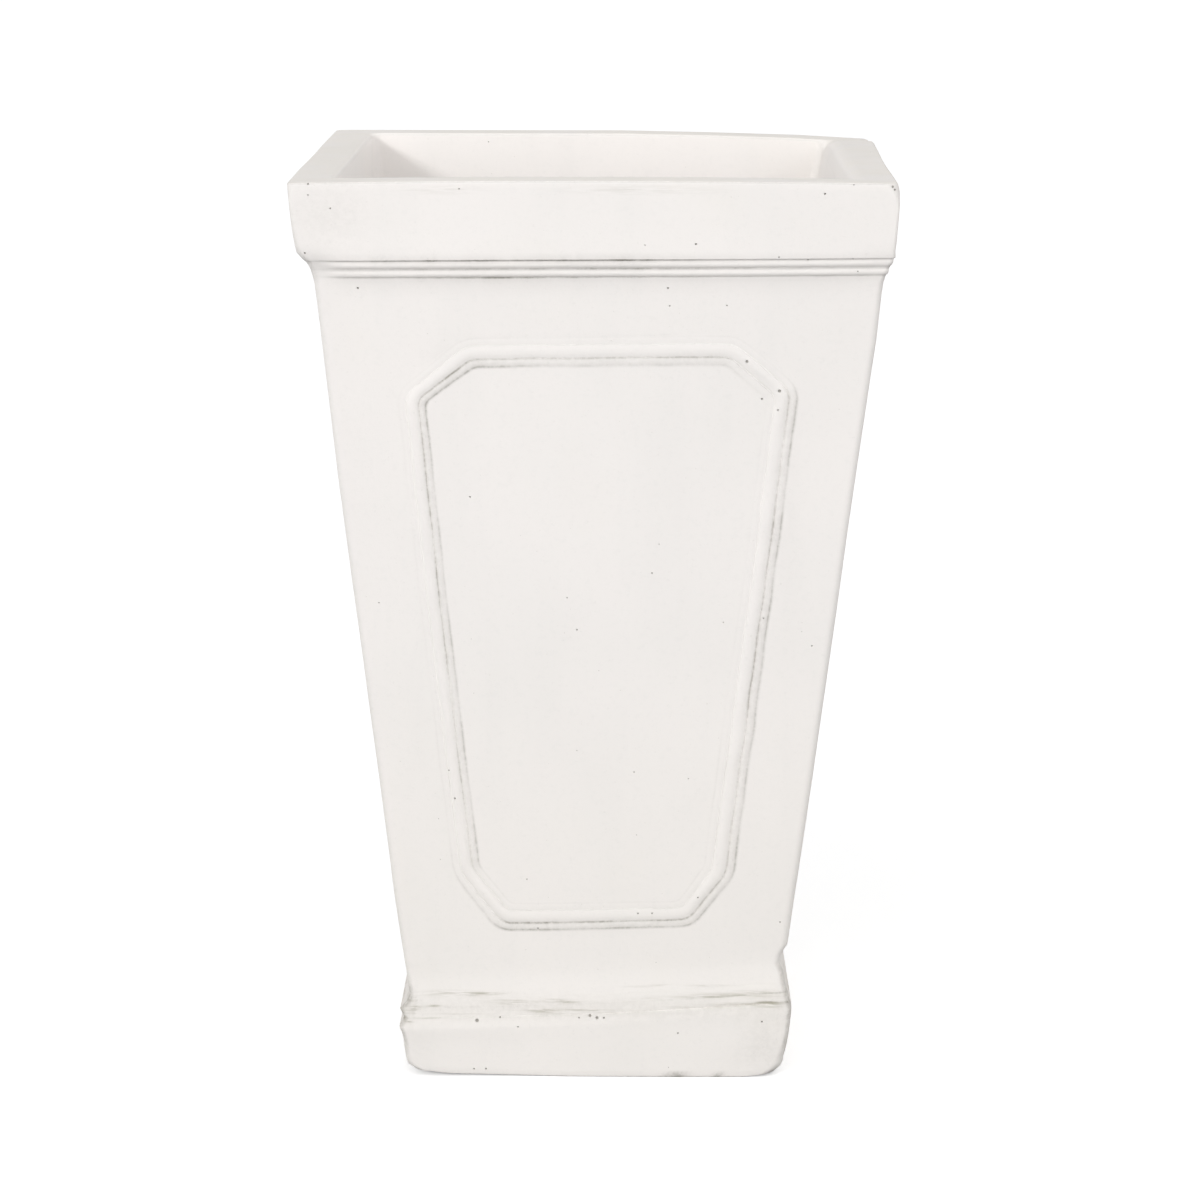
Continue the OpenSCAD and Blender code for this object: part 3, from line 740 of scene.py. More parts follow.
class Finish:
    """One material, built node by node. Every pattern reads the object's own coordinates."""

    def __init__(self, name):
        self.material = bpy.data.materials.new(name)
        self.material.use_nodes = True
        self.tree = self.material.node_tree
        self.tree.nodes.clear()
        self.place = self.add("TexCoord", {}).outputs["Object"]

    def add(self, kind, sockets, **options):
        """A new node with its options set. A socket is linked to another socket or given a value."""
        node = self.tree.nodes.new("ShaderNode" + kind)
        for option, value in options.items():
            setattr(node, option, value)
        for name, value in sockets.items():
            if isinstance(value, bpy.types.NodeSocket):
                self.tree.links.new(value, node.inputs[name])
            else:
                node.inputs[name].default_value = value
        return node

    def maths(self, operation, *values):
        """The result of one sum."""
        return self.add("Math", dict(enumerate(values)), operation=operation).outputs[0]

    def clamped(self, operation, *values):
        """The result of one sum, kept between 0 and 1."""
        return self.add("Math", dict(enumerate(values)), operation=operation, use_clamp=True).outputs[0]

    def scaled(self, x, y, z):
        """The place, stretched along each axis."""
        return self.add("Mapping", {"Vector": self.place, "Scale": (x, y, z)}).outputs[0]

    def noise(self, scale, detail=2.0, place=None, rough=0.5):
        """Soft noise from 0 to 1."""
        sockets = {"Vector": place or self.place, "Scale": scale, "Detail": detail, "Roughness": rough}
        return self.add("TexNoise", sockets).outputs[0]

    def between(self, value, low, high, start=0.0, stop=1.0):
        """The value's range from low to high as start to stop, in an S curve."""
        sockets = {"Value": value, "From Min": low, "From Max": high, "To Min": start, "To Max": stop}
        return self.add("MapRange", sockets, interpolation_type="SMOOTHSTEP").outputs[0]

    def attribute(self, name):
        """The number that the mesh holds under this name."""
        return self.add("Attribute", {}, attribute_name=name).outputs["Fac"]

    def mix(self, share, first, second):
        """The first colour where share is 0 and the second where it is 1."""
        colours = [c if isinstance(c, bpy.types.NodeSocket) else (*c, 1) for c in (first, second)]
        return self.add("Mix", {0: share, 6: colours[0], 7: colours[1]}, data_type="RGBA").outputs[2]

    def pinholes(self, scale, share, radius):
        """1 in small round holes of up to that radius, which sit in a share of the cells of a random grid."""
        cells = self.add("TexVoronoi", {"Vector": self.place, "Scale": scale})
        chance = self.add("SeparateColor", {"Color": cells.outputs["Color"]}).outputs
        size = self.maths("MULTIPLY_ADD", chance[1], 0.6 * radius * scale, 0.4 * radius * scale)
        depth = self.between(self.maths("DIVIDE", cells.outputs["Distance"], size), 1.0, 0.45)
        return self.maths("MULTIPLY", depth, self.maths("LESS_THAN", chance[0], share))

    def front_pits(self, places):
        """1 in round pits at places (x, z, radius) on the front, and 0 everywhere else."""
        flat = self.scaled(1, 0, 1)
        deepest = 0.0
        for x, z, radius in places:
            near = self.add("VectorMath", {0: flat, 1: (x, 0, z)}, operation="DISTANCE").outputs["Value"]
            deepest = self.maths("MAXIMUM", deepest, self.between(near, radius, 0.4 * radius))
        behind = self.add("SeparateXYZ", {0: self.place}).outputs["Y"]
        return self.maths("MULTIPLY", deepest, self.maths("LESS_THAN", behind, -0.1))

    def surface(self, colour, roughness, height, depth):
        """Joins a colour, a roughness and a height in metres times depth to the material's output."""
        normal = self.add("Bump", {"Height": height, "Distance": depth, "Strength": 1.0}).outputs[0]
        base = colour if isinstance(colour, bpy.types.NodeSocket) else (*colour, 1)
        shader = self.add("BsdfPrincipled", {"Base Color": base, "Roughness": roughness, "Normal": normal})
        shader.inputs["Specular IOR Level"].default_value = 0.3
        self.add("OutputMaterial", {"Surface": shader.outputs[0]})
        return self.material


def painted_finish(colours, pits):
    """Matt off-white paint: soft clouds and faint upright strokes, a yellower tint on top of the rim, in
    patches and low down, thin smears, grey wash in the grooves, pinholes, and bare cement where the paint has
    worn off, over a fine grain."""
    f = Finish("painted_cement")
    # the paint's own colour
    clouds = f.noise(7, 4)
    strokes = f.noise(1, 3, f.scaled(34, 34, 5))
    speckle = f.noise(240, 4, rough=0.65)
    grain = f.noise(1100, 2)
    shade = f.maths("MULTIPLY", f.between(clouds, 0.38, 0.66), 0.35)
    shade = f.maths("MULTIPLY_ADD", f.between(strokes, 0.45, 0.75), 0.3, shade)
    shade = f.clamped("MULTIPLY_ADD", f.between(speckle, 0.5, 0.72), 0.35, shade)
    colour = f.mix(shade, colours.paint, colours.paint_shade)
    # the yellower tint
    up = f.add("SeparateXYZ", {0: f.add("NewGeometry", {}).outputs["Normal"]}).outputs["Z"]
    yellowed = f.maths("MULTIPLY", f.between(up, 0.6, 0.95), f.between(f.noise(22, 3), 0.3, 0.6, 0.03, 0.16))
    patches = f.between(f.noise(11, 3), 0.56, 0.72, 0, 0.04)
    height = f.add("SeparateXYZ", {0: f.place}).outputs["Z"]
    damp = f.between(height, 0.38, 0.10, 0, 0.075)
    colour = f.mix(f.maths("MAXIMUM", yellowed, f.maths("ADD", patches, damp)), colour, colours.aged)

    # smears, then the wash with painted shade low down and on slopes that face up, and specks
    streaks = f.between(f.noise(1, 4, f.scaled(48, 48, 640), rough=0.66), 0.36, 0.62)
    smear = f.maths("MULTIPLY", f.attribute("smear"), streaks)
    colour = f.mix(f.clamped("MULTIPLY", smear, 1.0), colour, colours.smear)
    # painted shade: darker towards the ground, and on slopes that face up, so that they look no brighter than
    # the walls
    dust_and_shade = f.between(height, 0.5, 0.05, 0, 0.018)
    slope = f.maths("MULTIPLY", f.between(up, -0.06, 0.32, 0, 0.11), f.between(up, 0.8, 0.5))
    dust_and_shade = f.maths("ADD", dust_and_shade, slope)
    specks = f.between(f.noise(520, 2, rough=0.7), 0.60, 0.78, 0, 0.05)
    broken = f.between(f.noise(260, 4, rough=0.7), 0.34, 0.62, 0.6, 1.2)
    wash = f.maths("MULTIPLY_ADD", f.attribute("wash"), broken, f.maths("ADD", dust_and_shade, specks))
    colour = f.mix(f.clamped("ADD", wash, 0.0), colour, colours.wash)

    # holes and bare edges
    small = f.pinholes(85, 0.55, 0.0006)
    fine = f.pinholes(190, 0.35, 0.0003)
    holes = f.maths("MAXIMUM", f.maths("MAXIMUM", small, f.maths("MULTIPLY", fine, 0.6)), f.front_pits(pits))
    colour = f.mix(f.maths("MULTIPLY", holes, 0.75), colour, colours.wash)
    bare = f.between(f.maths("ADD", f.attribute("bare"), f.noise(120, 3)), 0.95, 1.15)
    colour = f.mix(bare, colour, colours.cement)

    # relief
    height = f.maths("MULTIPLY_ADD", speckle, 0.10, f.maths("MULTIPLY", grain, 0.03))
    height = f.maths("MULTIPLY_ADD", strokes, 0.12, height)
    height = f.maths("MULTIPLY_ADD", holes, -0.8, height)
    return f.surface(colour, 0.82, height, 0.0009)


def cement_finish(name, base, dark, paint=None, painted_from=0.0):
    """Bare trowelled cement: clouds, grit and shallow trowel marks, and paint sprayed over it from a height
    up."""
    f = Finish(name)
    clouds = f.noise(14, 5)
    grit = f.noise(420, 3, rough=0.7)
    trowel = f.noise(1, 4, f.scaled(60, 60, 22))
    colour = f.mix(f.between(clouds, 0.35, 0.7), base, dark)
    colour = f.mix(f.maths("MULTIPLY", f.between(grit, 0.5, 0.75), 0.35), colour, dark)
    if paint:
        height = f.add("SeparateXYZ", {0: f.place}).outputs["Z"]
        edge = f.maths("MULTIPLY_ADD", f.noise(24, 4), 0.12, height)
        colour = f.mix(f.between(edge, painted_from, painted_from + 0.05), colour, paint)
    holes = f.pinholes(110, 0.6, 0.0009)
    colour = f.mix(f.maths("MULTIPLY", holes, 0.6), colour, dark)
    rough = f.maths("MULTIPLY_ADD", grit, 0.35, f.maths("MULTIPLY", trowel, 0.6))
    rough = f.maths("MULTIPLY_ADD", holes, -0.8, rough)
    return f.surface(colour, 0.92, rough, 0.0012)


def fibre_finish(colours):
    """Woven glass-fibre mesh: two sets of threads that cross every few millimetres, with cement in the
    gaps."""
    f = Finish("woven_glass_fibre")

    def threads(place, direction):
        """Even bands along one direction."""
        sockets = {"Vector": place, "Scale": 60, "Distortion": 0.4}
        return f.add("TexWave", sockets, wave_type="BANDS", bands_direction=direction).outputs[1]

    level = threads(f.place, "Z")
    turned = f.add("Mapping", {"Vector": f.place, "Rotation": (0, 0, math.pi / 4)}).outputs[0]
    upright = threads(turned, "X")
    weave = f.between(f.maths("MAXIMUM", level, upright), 0.45, 0.8)
    colour = f.mix(weave, colours.cement, colours.fibre)
    return f.surface(colour, 0.6, weave, 0.0003)


def rubber_finish(colours):
    """Matt moulded rubber with a fine grain and a little dust."""
    f = Finish("moulded_rubber")
    grain = f.noise(900, 3)
    dust_and_shade = f.maths("MULTIPLY", f.between(f.noise(70, 5), 0.45, 0.8), 0.25)
    colour = f.mix(dust_and_shade, colours.rubber, colours.cement_dark)
    return f.surface(colour, 0.62, grain, 0.0001)


# ---------------------------------------------------------------------------------------------------------
# Pieces
# ---------------------------------------------------------------------------------------------------------

def melt(shape, hand, profile, outside, columns):
    """Half widths of the face coat's rings at each column. The relief is drawn towards its mean over the
    heights around it, weighted by distance: most on the corners, so that the beads melt together there, and
    partly where the beads on the plinth are worn."""
    half, z = profile[:, 0], profile[:, 1]
    x, y = columns[0].T
    outer = np.arange(len(z)) < outside
    stand = half - body_half(shape, z)
    kernel = np.exp(-((z[:, None] - z) / hand.corner_blur) ** 2) * np.abs(np.gradient(z)) * outer
    # under the rim each height counts with 0.3 of its stand, so that the beads sink where they melt
    under_rim = (z < bead_lines(shape)[0][0]) & (z > TOP_Z / 2)
    mean = kernel @ (np.where(under_rim, 0.3, 1) * stand) / kernel.sum(axis=1)
    # distance from the nearest corner, in metres on a side of about 0.30, and how far round it they melt
    from_corner = 0.15 * (1 - np.minimum(np.abs(x), np.abs(y)))
    reach = 0.012
    near = np.exp(-(from_corner / reach) ** 2)
    low = smooth(TOP_Z / 2, TOP_Z / 4, z)[:, None]
    softness = low * corner_values(x, y, PLINTH_SOFTNESS) + (1 - low) * corner_values(x, y, CORNER_SOFTNESS)
    worn = np.interp(x * body_half(shape, 0), WORN_X, WORN_SHARE)
    share = np.maximum(near * softness, low * np.where(y < np.abs(x), worn, WORN_ELSEWHERE))
    # the plinth's plain face and the top of the rim keep their shape
    melting = smooth(0.030, 0.044, z) * smooth(TOP_Z - 0.012, TOP_Z - 0.03, z) * outer
    return half[:, None] + (melting * (mean - stand))[:, None] * share


def groove_wash(shape, profile, outside, columns, points):
    """Wash that has settled in the grooves: a narrow line along each, broken at random along its length, and
    a faint haze under it, partly wash and partly painted shade under the bead."""
    z = profile[:, 1]
    outer = np.arange(len(z)) < outside
    under_rim, over_plinth = bead_lines(shape)
    on_front = points[..., 1] < -0.98 * np.abs(points[..., 0])
    haze_share, haze_drop, haze_half = 0.08, 0.001, 0.0035
    wash = np.zeros(points.shape[:2])
    for number, line in enumerate(under_rim + over_plinth[::-1]):
        # 0 under the rim and 1 over the plinth
        group = number // 3
        share = np.where(on_front, np.interp(points[..., 0], *GROOVE_WASH[number]), GROOVE_SHARES[group])
        broken = np.clip(0.85 + 0.35 * ripples(points, 0.016, seed=40 + number), 0.2, 1.4)
        across = np.exp(-((z - line) / GROOVE_WIDTHS[group]) ** 2)
        # the haze is partly painted shade, dropped a little under the groove
        haze = haze_share * np.exp(-((z - line + haze_drop) / haze_half) ** 2)
        wash += share * broken * ((across + haze) * outer)[:, None]
    return np.clip(wash + corner_grime_and_shade(z, outer, columns), 0, 1)


def corner_grime_and_shade(z, outer, columns):
    """A faint painted shade on every upright corner, a stronger wash on the plinth's, and wash along the
    outer edge of the rim's top, where it is a little weaker on the front."""
    turned = np.abs(columns[1]).min(axis=1) > 1e-6
    beside = np.abs(columns[1][:, 0]) * turned
    # painted shade on every upright corner, and wash over it from the foot of the plinth up to its beads
    share = 0.03 + 0.20 * smooth(0.010, 0.022, z) * smooth(0.078, 0.066, z)
    upright = (share * outer)[:, None] * smooth(0.15, 0.6, beside)
    edge = smooth(TOP_Z - 0.0016, TOP_Z - 0.0004, z) * outer
    return upright + edge[:, None] * np.where(columns[1][:, 1] < -0.7, *TOP_EDGE_WASH)


def front_smears(studio, shape, points, ovals):
    """Smears or patches on the front, as soft ovals where the photograph has them. On the other three sides
    the same ovals lie shifted, softer and, on the left and the right, mirrored."""
    smear = np.zeros(points.shape[:2])
    height = points[..., 2]
    wall = np.abs(points[..., :2]).max(axis=2)
    # points further behind the wall's face, or further round a corner, than this take no part
    behind, round_corner = 0.009, 0.008
    outer = wall > body_half(shape, height) - behind
    scale = pixel_size(studio, shape)
    for side in range(4):
        turn = side * np.pi / 2
        across = points[..., 0] * math.cos(turn) + points[..., 1] * math.sin(turn)
        facing = points[..., 0] * math.sin(turn) - points[..., 1] * math.cos(turn)
        mirror = 1 if side % 2 == 0 else -1
        soften = 1.0 if side == 0 else OTHER_SIDES_SOFTER
        on_side = outer & (facing > wall - round_corner)
        for column, row, wide, high, strength in ovals:
            stand = rim_stand_mid(shape) if row < RIM_ROW else shape.lower_bead if row > PLINTH_ROW else 0
            x, z = seen_on_front(studio, shape, column, row, stand)
            middle = mirror * x + OTHER_SIDES_SHIFT * side
            oval = ((across - middle) / (wide * scale)) ** 2 + ((height - z) / (soften * high * scale)) ** 2
            smear += strength / soften * np.exp(-oval) * on_side
    return np.clip(smear, 0, 1)


def picture_pits(studio, shape):
    """The larger pits as places (x, z, radius) in metres on the front."""
    groups = ((RIM_PITS, rim_stand_mid(shape)), (BODY_PITS, 0.0), (PLINTH_PITS, shape.plinth_stand))
    scale = pixel_size(studio, shape)
    places = []
    for pixels, stand in groups:
        for column, row, radius in pixels:
            places.append((*seen_on_front(studio, shape, column, row, stand), radius * scale))
    return places


class PLANTER_OT_face_casting(bpy.types.Operator):
    """The face coat: rim, beads, body and plinth in one closed skin"""

    bl_idname = "planter.face_casting"
    bl_label = "Face casting"

    def execute(self, context):
        scene = context.scene
        shape, hand, studio = scene.planter_shape, scene.planter_hand, scene.planter_studio
        profile, outside = face_profile(shape)
        z = profile[:, 1]
        columns = square_columns(*OUTSIDE_COLUMNS)
        inner = (np.arange(len(z)) >= outside)[:, None]
        mouth_half, height = round_mouth(shape, profile, columns)
        half = np.where(inner, mouth_half, melt(shape, hand, profile, outside, columns))
        outer_r = corner_values(*columns[0].T, [np.interp(z, CORNER_R_Z, row)[:, None] for row in CORNER_R])
        radius = np.where(inner, corner_values(*columns[0].T, MOUTH_R), outer_r)
        points = square_rings(half, height, radius, columns)
        points = hand_cast(points, shape, hand)
        # wash in the grooves and on the corners, with painted shade under the grooves and along the upright
        # corners
        wash = groove_wash(shape, profile, outside, columns, points)
        smear = front_smears(studio, shape, points, FRONT_SMEARS)
        wash += front_smears(studio, shape, points, GREY_PATCHES)
        # the paint is partly worn off along the bottom edge
        bare = smooth(0.0012, 0.0002, points[..., 2]) * 0.55
        pits = picture_pits(studio, shape)
        finish = painted_finish(scene.planter_colours, pits)
        faces = grid_faces(*points.shape[:2])
        piece = add_mesh(
            "face_skin", points, faces, finish, "painted_face", "planter", wash=wash, smear=smear, bare=bare
        )
        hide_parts("face_casting")
        return {"FINISHED"}


def moulding_caps(panel):
    """The moulding's section as rows of distance in from its outer edge and height above the wall, and its
    width: a soft foot, three round caps, another soft foot, and a closed base inside the wall. Each cap is an
    arc over its own width, of radius (width squared / 4 + height squared) / (2 x height)."""
    caps = [
        (0, panel.fillet_w, panel.fillet_h, 13),
        (panel.fillet_w, panel.bead_w, panel.bead_h, 21),
        (panel.fillet_w + panel.bead_w, panel.fillet_w, panel.fillet_h, 13),
    ]
    width = panel.bead_w + 2 * panel.fillet_w
    foot = np.array([(-0.0022, -0.0001), (-0.0014, 0.00001), (-0.0008, 0.00004), (-0.0003, 0.00014)])
    rows = [foot]
    for start, wide, high, count in caps:
        radius = (wide**2 / 4 + high**2) / (2 * high)
        angle = math.asin(wide / 2 / radius) * np.linspace(-1, 1, count)
        place = start + wide / 2 + radius * np.sin(angle)
        rows.append(np.stack([place, high - radius + radius * np.cos(angle)], 1))
    rows.append((foot * (-1, 1) + (width, 0))[::-1])
    rows.append(np.array([(width + 0.0022, -0.0025), (-0.0022, -0.0025)]))
    section = np.concatenate(rows)
    # the grooves between the caps are filled up to a floor that is a little higher beside the main bead
    over_wall = np.abs(section[:, 0] - width / 2) < width / 2 + 1e-6
    between = np.abs(section[:, 0] - width / 2) < (panel.bead_w + panel.fillet_w) / 2
    section[:, 1] = np.maximum(section[:, 1], np.where(between, 0.0003, np.where(over_wall, 0.0002, -1)))
    return section, width


def panel_outline(shape, panel, stray):
    """The moulding's eight outer corners on one side, as across and height, anticlockwise from the lower
    right: a tapered oblong with its corners cut off, each corner strayed by hand."""
    _, (_, _, bead_top) = bead_lines(shape)
    low = bead_top + shape.foot_slope + panel.bottom_gap
    high = TOP_Z - shape.rim_height - panel.top_gap
    right = [
        (body_half(shape, low) - panel.side_gap - panel.bottom_cut_w, low),
        (body_half(shape, low + panel.bottom_cut_h) - panel.side_gap, low + panel.bottom_cut_h),
        (body_half(shape, high - panel.top_cut_h) - panel.side_gap, high - panel.top_cut_h),
        (body_half(shape, high) - panel.side_gap - panel.top_cut_w, high),
    ]
    left = [(-x, z) for x, z in reversed(right)]
    return np.array(right + left) + stray


def moulding_path(outline, offsets, breadth, cut):
    """Paths round the outline, one for each offset: the outline's corners moved inwards along their mitres
    and rounded by a quadratic curve that starts and ends cut from the corner, with even steps between
    them."""
    into = outline - np.roll(outline, 1, axis=0)
    into /= np.linalg.norm(into, axis=1, keepdims=True)
    out = np.roll(into, -1, axis=0)
    left = np.stack([-(into + out)[:, 1], (into + out)[:, 0]], axis=1)
    mitre = left / (1 + (into * out).sum(axis=1, keepdims=True))
    corners = outline + (offsets[:, None] * breadth)[..., None] * mitre
    start = corners - cut[:, None, None] * into
    stop = corners + cut[:, None, None] * out
    t = np.linspace(0, 1, 10)[:, None]
    step = 0.0024
    parts = []
    for i in range(len(outline)):
        first, middle, last = start[:, None, i], corners[:, None, i], stop[:, None, i]
        curve = (1 - t) ** 2 * first + 2 * t * (1 - t) * middle + t**2 * last
        gap = start[:, (i + 1) % len(outline)] - stop[:, i]
        steps = max(3, round(np.linalg.norm(gap[0]) / step))
        share = (np.arange(1, steps) / steps)[:, None]
        parts += [curve, stop[:, None, i] + share * gap[:, None]]
    return np.concatenate(parts, axis=1)


class PLANTER_OT_panel_mouldings(bpy.types.Operator):
    """The moulding on each of the four sides: a section carried round the panel's outline"""

    bl_idname = "planter.panel_mouldings"
    bl_label = "Panel mouldings"

    def execute(self, context):
        scene = context.scene
        shape, panel, hand = scene.planter_shape, scene.planter_panel, scene.planter_hand
        finish = bpy.data.materials["painted_cement"]
        section, width = moulding_caps(panel)
        lean = math.atan(body_slope(shape))
        depth_in = np.clip(section[:, 0] / width, 0, 1)
        # the corners are rounded less towards the moulding's inner edge
        cut = 0.009 - 0.0055 * depth_in
        for number, side in enumerate(SIDES):
            random = np.random.default_rng(number)
            stray = FRONT_STRAY if number == 0 else random.normal(0, 0.0012, (8, 2))
            breadth = FRONT_BREADTH if number == 0 else random.uniform(0.92, 1.1, 8)
            path = moulding_path(panel_outline(shape, panel, stray), section[:, 0], np.array(breadth), cut)
            across, z = path[..., 0], path[..., 1]
            # the hand that laid the moulding trembled, slowly and quickly, and differently on each side
            flat = np.stack([across, np.full_like(z, 0.3 * number), z], axis=-1)
            across = across + 0.00016 * ripples(flat, 0.05, 60) + 0.00006 * ripples(flat, 0.013, 61)
            z = z + 0.00016 * ripples(flat, 0.05, 62) + 0.00006 * ripples(flat, 0.013, 63)
            wiped = stained = np.zeros_like(z)
            if number == 0:
                bow_low, bow_high = BOW_Z
                bow = np.sin(np.pi * np.clip((z - bow_low) / (bow_high - bow_low), 0, 1))
                across = across - sideways(z) - FRONT_BOW * bow * smooth(-0.03, -0.06, across)
                wiped_x, wiped_z, wide, tall, gone = WIPED
                reach = ((across - wiped_x) / wide) ** 2 + ((z - wiped_z) / tall) ** 2
                wiped = gone * np.exp(-reach) * smooth(0.35, 0.65, depth_in)[:, None]
                stained = smooth(0.40, 0.46, z) * smooth(-0.04, -0.08, across)
            # the fillets are flatter where they don't face down and to the right
            inner, outer = turned_from_light(path)
            fillet = np.where((section[:, 0] < width / 2)[:, None], outer, inner)
            from_middle = np.abs(section[:, 0] - width / 2)
            beside = smooth(panel.bead_w / 2 - 0.001, panel.bead_w / 2 + 0.001, from_middle)
            proud = np.maximum(section[:, 1], 0)[:, None] * (1 - 0.75 * beside[:, None] * (1 - fillet))
            proud = proud * (1 + 0.10 * ripples(flat, 0.03, 64)) * (1 - wiped)
            proud = proud * (1 - LEVEL_PRESS * how_level(path))
            height = proud + np.minimum(section[:, 1], 0)[:, None]
            # the section stands square on the sloping wall
            out = body_half(shape, z) + height * math.cos(lean)
            points = np.stack([across, -out, z - height * math.sin(lean)], axis=-1)
            turn = number * np.pi / 2
            turned = points.copy()
            turned[..., 0] = points[..., 0] * math.cos(turn) - points[..., 1] * math.sin(turn)
            turned[..., 1] = points[..., 0] * math.sin(turn) + points[..., 1] * math.cos(turn)
            turned = hand_cast(turned, shape, hand)
            # wash in the grooves, with painted shade on the flanks and fillets that face away from the light
            wash = moulding_wash(panel, section, width, path, flat)
            wash = wash * (1 - wiped) * (1 + UPPER_LEFT_EXTRA * stained)
            none = np.zeros_like(wash)
            faces = grid_faces(*turned.shape[:2])
            piece = add_mesh(
                side + "_panel_moulding", turned, faces, finish, "painted_face", "planter",
                wash=wash, smear=none, bare=none,
            )
            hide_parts("face_casting")
        return {"FINISHED"}


def turned_from_light(path):
    """How far the inner and the outer flank along a moulding's path face down and to the right, away from
    the key lamp, from 0 to 1."""
    tangent = np.roll(path, -1, axis=1) - np.roll(path, 1, axis=1)
    tangent /= np.linalg.norm(tangent, axis=2, keepdims=True)
    facing = -tangent[..., 1] * 0.55 - tangent[..., 0] * 0.83
    return smooth(-0.35, 0.75, facing), smooth(-0.35, 0.75, -facing)


def how_level(path):
    """1 where a path runs level and 0 where it runs upright."""
    tangent = np.roll(path, -1, axis=1) - np.roll(path, 1, axis=1)
    return (tangent[..., 0] / np.linalg.norm(tangent, axis=2)) ** 2


def moulding_wash(panel, section, width, path, flat):
    """Wash in the moulding's four grooves: a dark line in a soft haze along each, broken at random along the
    path, and painted shade on the fillets that face from the light. The lines are strongest on the flanks
    that face down and to the right, away from the key lamp, which paints shade into them."""
    inner, outer = turned_from_light(path)
    place = section[:, 0][:, None]

    def on_fillet(distance):
        """1 on the fillet at one edge of the moulding, by the distance from that edge, and 0 beside it."""
        return smooth(0, LINE_HALF, distance) * smooth(panel.fillet_w, panel.fillet_w - LINE_HALF, distance)

    wash = FILLET_SHADE * (on_fillet(place) * outer + on_fillet(width - place) * inner)
    # place, flank, strength where the path is upright, and how that changes where it is level
    grooves = [
        (0.0, outer, 0.34, 1.3), (panel.fillet_w, outer, 0.38, 1.3),
        (panel.fillet_w + panel.bead_w, inner, 0.46, 0.75), (width, inner, 0.32, 0.75),
    ]
    # the share on the flanks that face the light grows towards the ground
    least = 0.08 + 0.12 * smooth(0.30, 0.16, path[..., 1])
    for number, (line, side, strength, on_level) in enumerate(grooves):
        broken = np.clip(0.75 + 0.30 * ripples(flat, 0.045, 70 + number), 0.4, 1.1)
        spread = np.exp(-((place - line) / LINE_HALF) ** 2)
        spread = spread + HAZE_SHARE * np.exp(-((place - line) / HAZE_HALF) ** 2)
        share = strength * (1 + (on_level - 1) * how_level(path)) * (least + (1 - least) * side)
        wash += share * broken * spread
    return np.clip(wash, 0, 1) * (section[:, 1] > -0.001)[:, None]


class PLANTER_OT_backing_coat(bpy.types.Operator):
    """The trowelled backing coat behind the face coat, with the packed core of the rim"""

    bl_idname = "planter.backing_coat"
    bl_label = "Backing coat"

    def execute(self, context):
        scene = context.scene
        shape, hand, colours = scene.planter_shape, scene.planter_hand, scene.planter_colours
        profile, inner = backing_profile(shape)
        z = profile[:, 1]
        columns = square_columns(*INSIDE_COLUMNS)
        radius = np.where(inner, INSIDE_R, 0.8 * shape.corner)
        half = np.repeat(profile[:, :1], len(columns[0]), axis=1)
        points = square_rings(half, z[:, None], radius[:, None], columns)
        points = hand_cast(points, shape, hand)
        marks = ripples(points * (1, 1, 1.6), 0.075, 80) + 0.45 * ripples(points * (1, 1, 2.2), 0.022, 81)
        marks += 0.2 * ripples(points, 0.009, 82)
        # the marks fade out towards the floor and the lip
        share = smooth(FLOOR_LOW.z, FLOOR_HIGH.z, z) * smooth(TOP_Z - shape.lip_height, TOP_Z - 0.07, z)
        share = share * inner
        middle = np.linalg.norm(points[..., :2], axis=2, keepdims=True)
        points[..., :2] *= 1 + hand.trowel * (marks * share[:, None])[..., None] / middle
        finish = cement_finish("trowelled_cement", colours.cement, colours.cement_dark, colours.paint, 0.16)
        piece = add_mesh(
            "backing_skin", points, grid_faces(*points.shape[:2]), finish, "grey_backing", "planter"
        )
        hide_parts("backing_coat")
        return {"FINISHED"}


def backing_profile(shape):
    """The backing coat's closed cross-section as rows of half width and height, and whether each row is on
    the inside: out under the wall, up behind the face coat round the mats, over the rim's core and down
    inside."""
    rim_z = TOP_Z - shape.rim_height
    wall = shape.face_coat + shape.backing
    mat_low, mat_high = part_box("front_mat")[0].z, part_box("front_mat")[1].z
    mat = MAT_THICKNESS
    behind_top, behind_low = TOP_Z - shape.face_coat, rim_z + shape.face_coat
    rim_low_half = body_half(shape, rim_z) + shape.rim_stand - shape.face_coat
    mouth = body_half(shape, rim_z) - wall - shape.lip_stand
    lip_z = TOP_Z - shape.lip_height
    slope_z = lip_z - shape.lip_slope

    def behind(z, depth=0.0):
        """The point behind the face coat at a height, and so much deeper."""
        return (body_half(shape, z) - shape.face_coat - depth, z)

    hidden = [
        (body_half(shape, 0) - wall, 0),
        behind(0),
        behind(mat_low),
        behind(mat_low, mat),
        behind(mat_high, mat),
        behind(mat_high),
        behind(behind_low),
        (rim_low_half, behind_low),
        (rim_low_half + shape.rim_draft, behind_top),
        (mouth + shape.face_coat, behind_top),
        (mouth + shape.face_coat, lip_z),
    ]
    inside = np.concatenate([
        stretch((mouth, lip_z), (body_half(shape, slope_z) - wall, slope_z), 0.0015),
        stretch((body_half(shape, slope_z) - wall, slope_z), (body_half(shape, 0) - wall, 0), 0.0042),
    ])
    rows = np.concatenate([np.array(hidden), inside])
    return rows, np.arange(len(rows)) >= len(hidden)


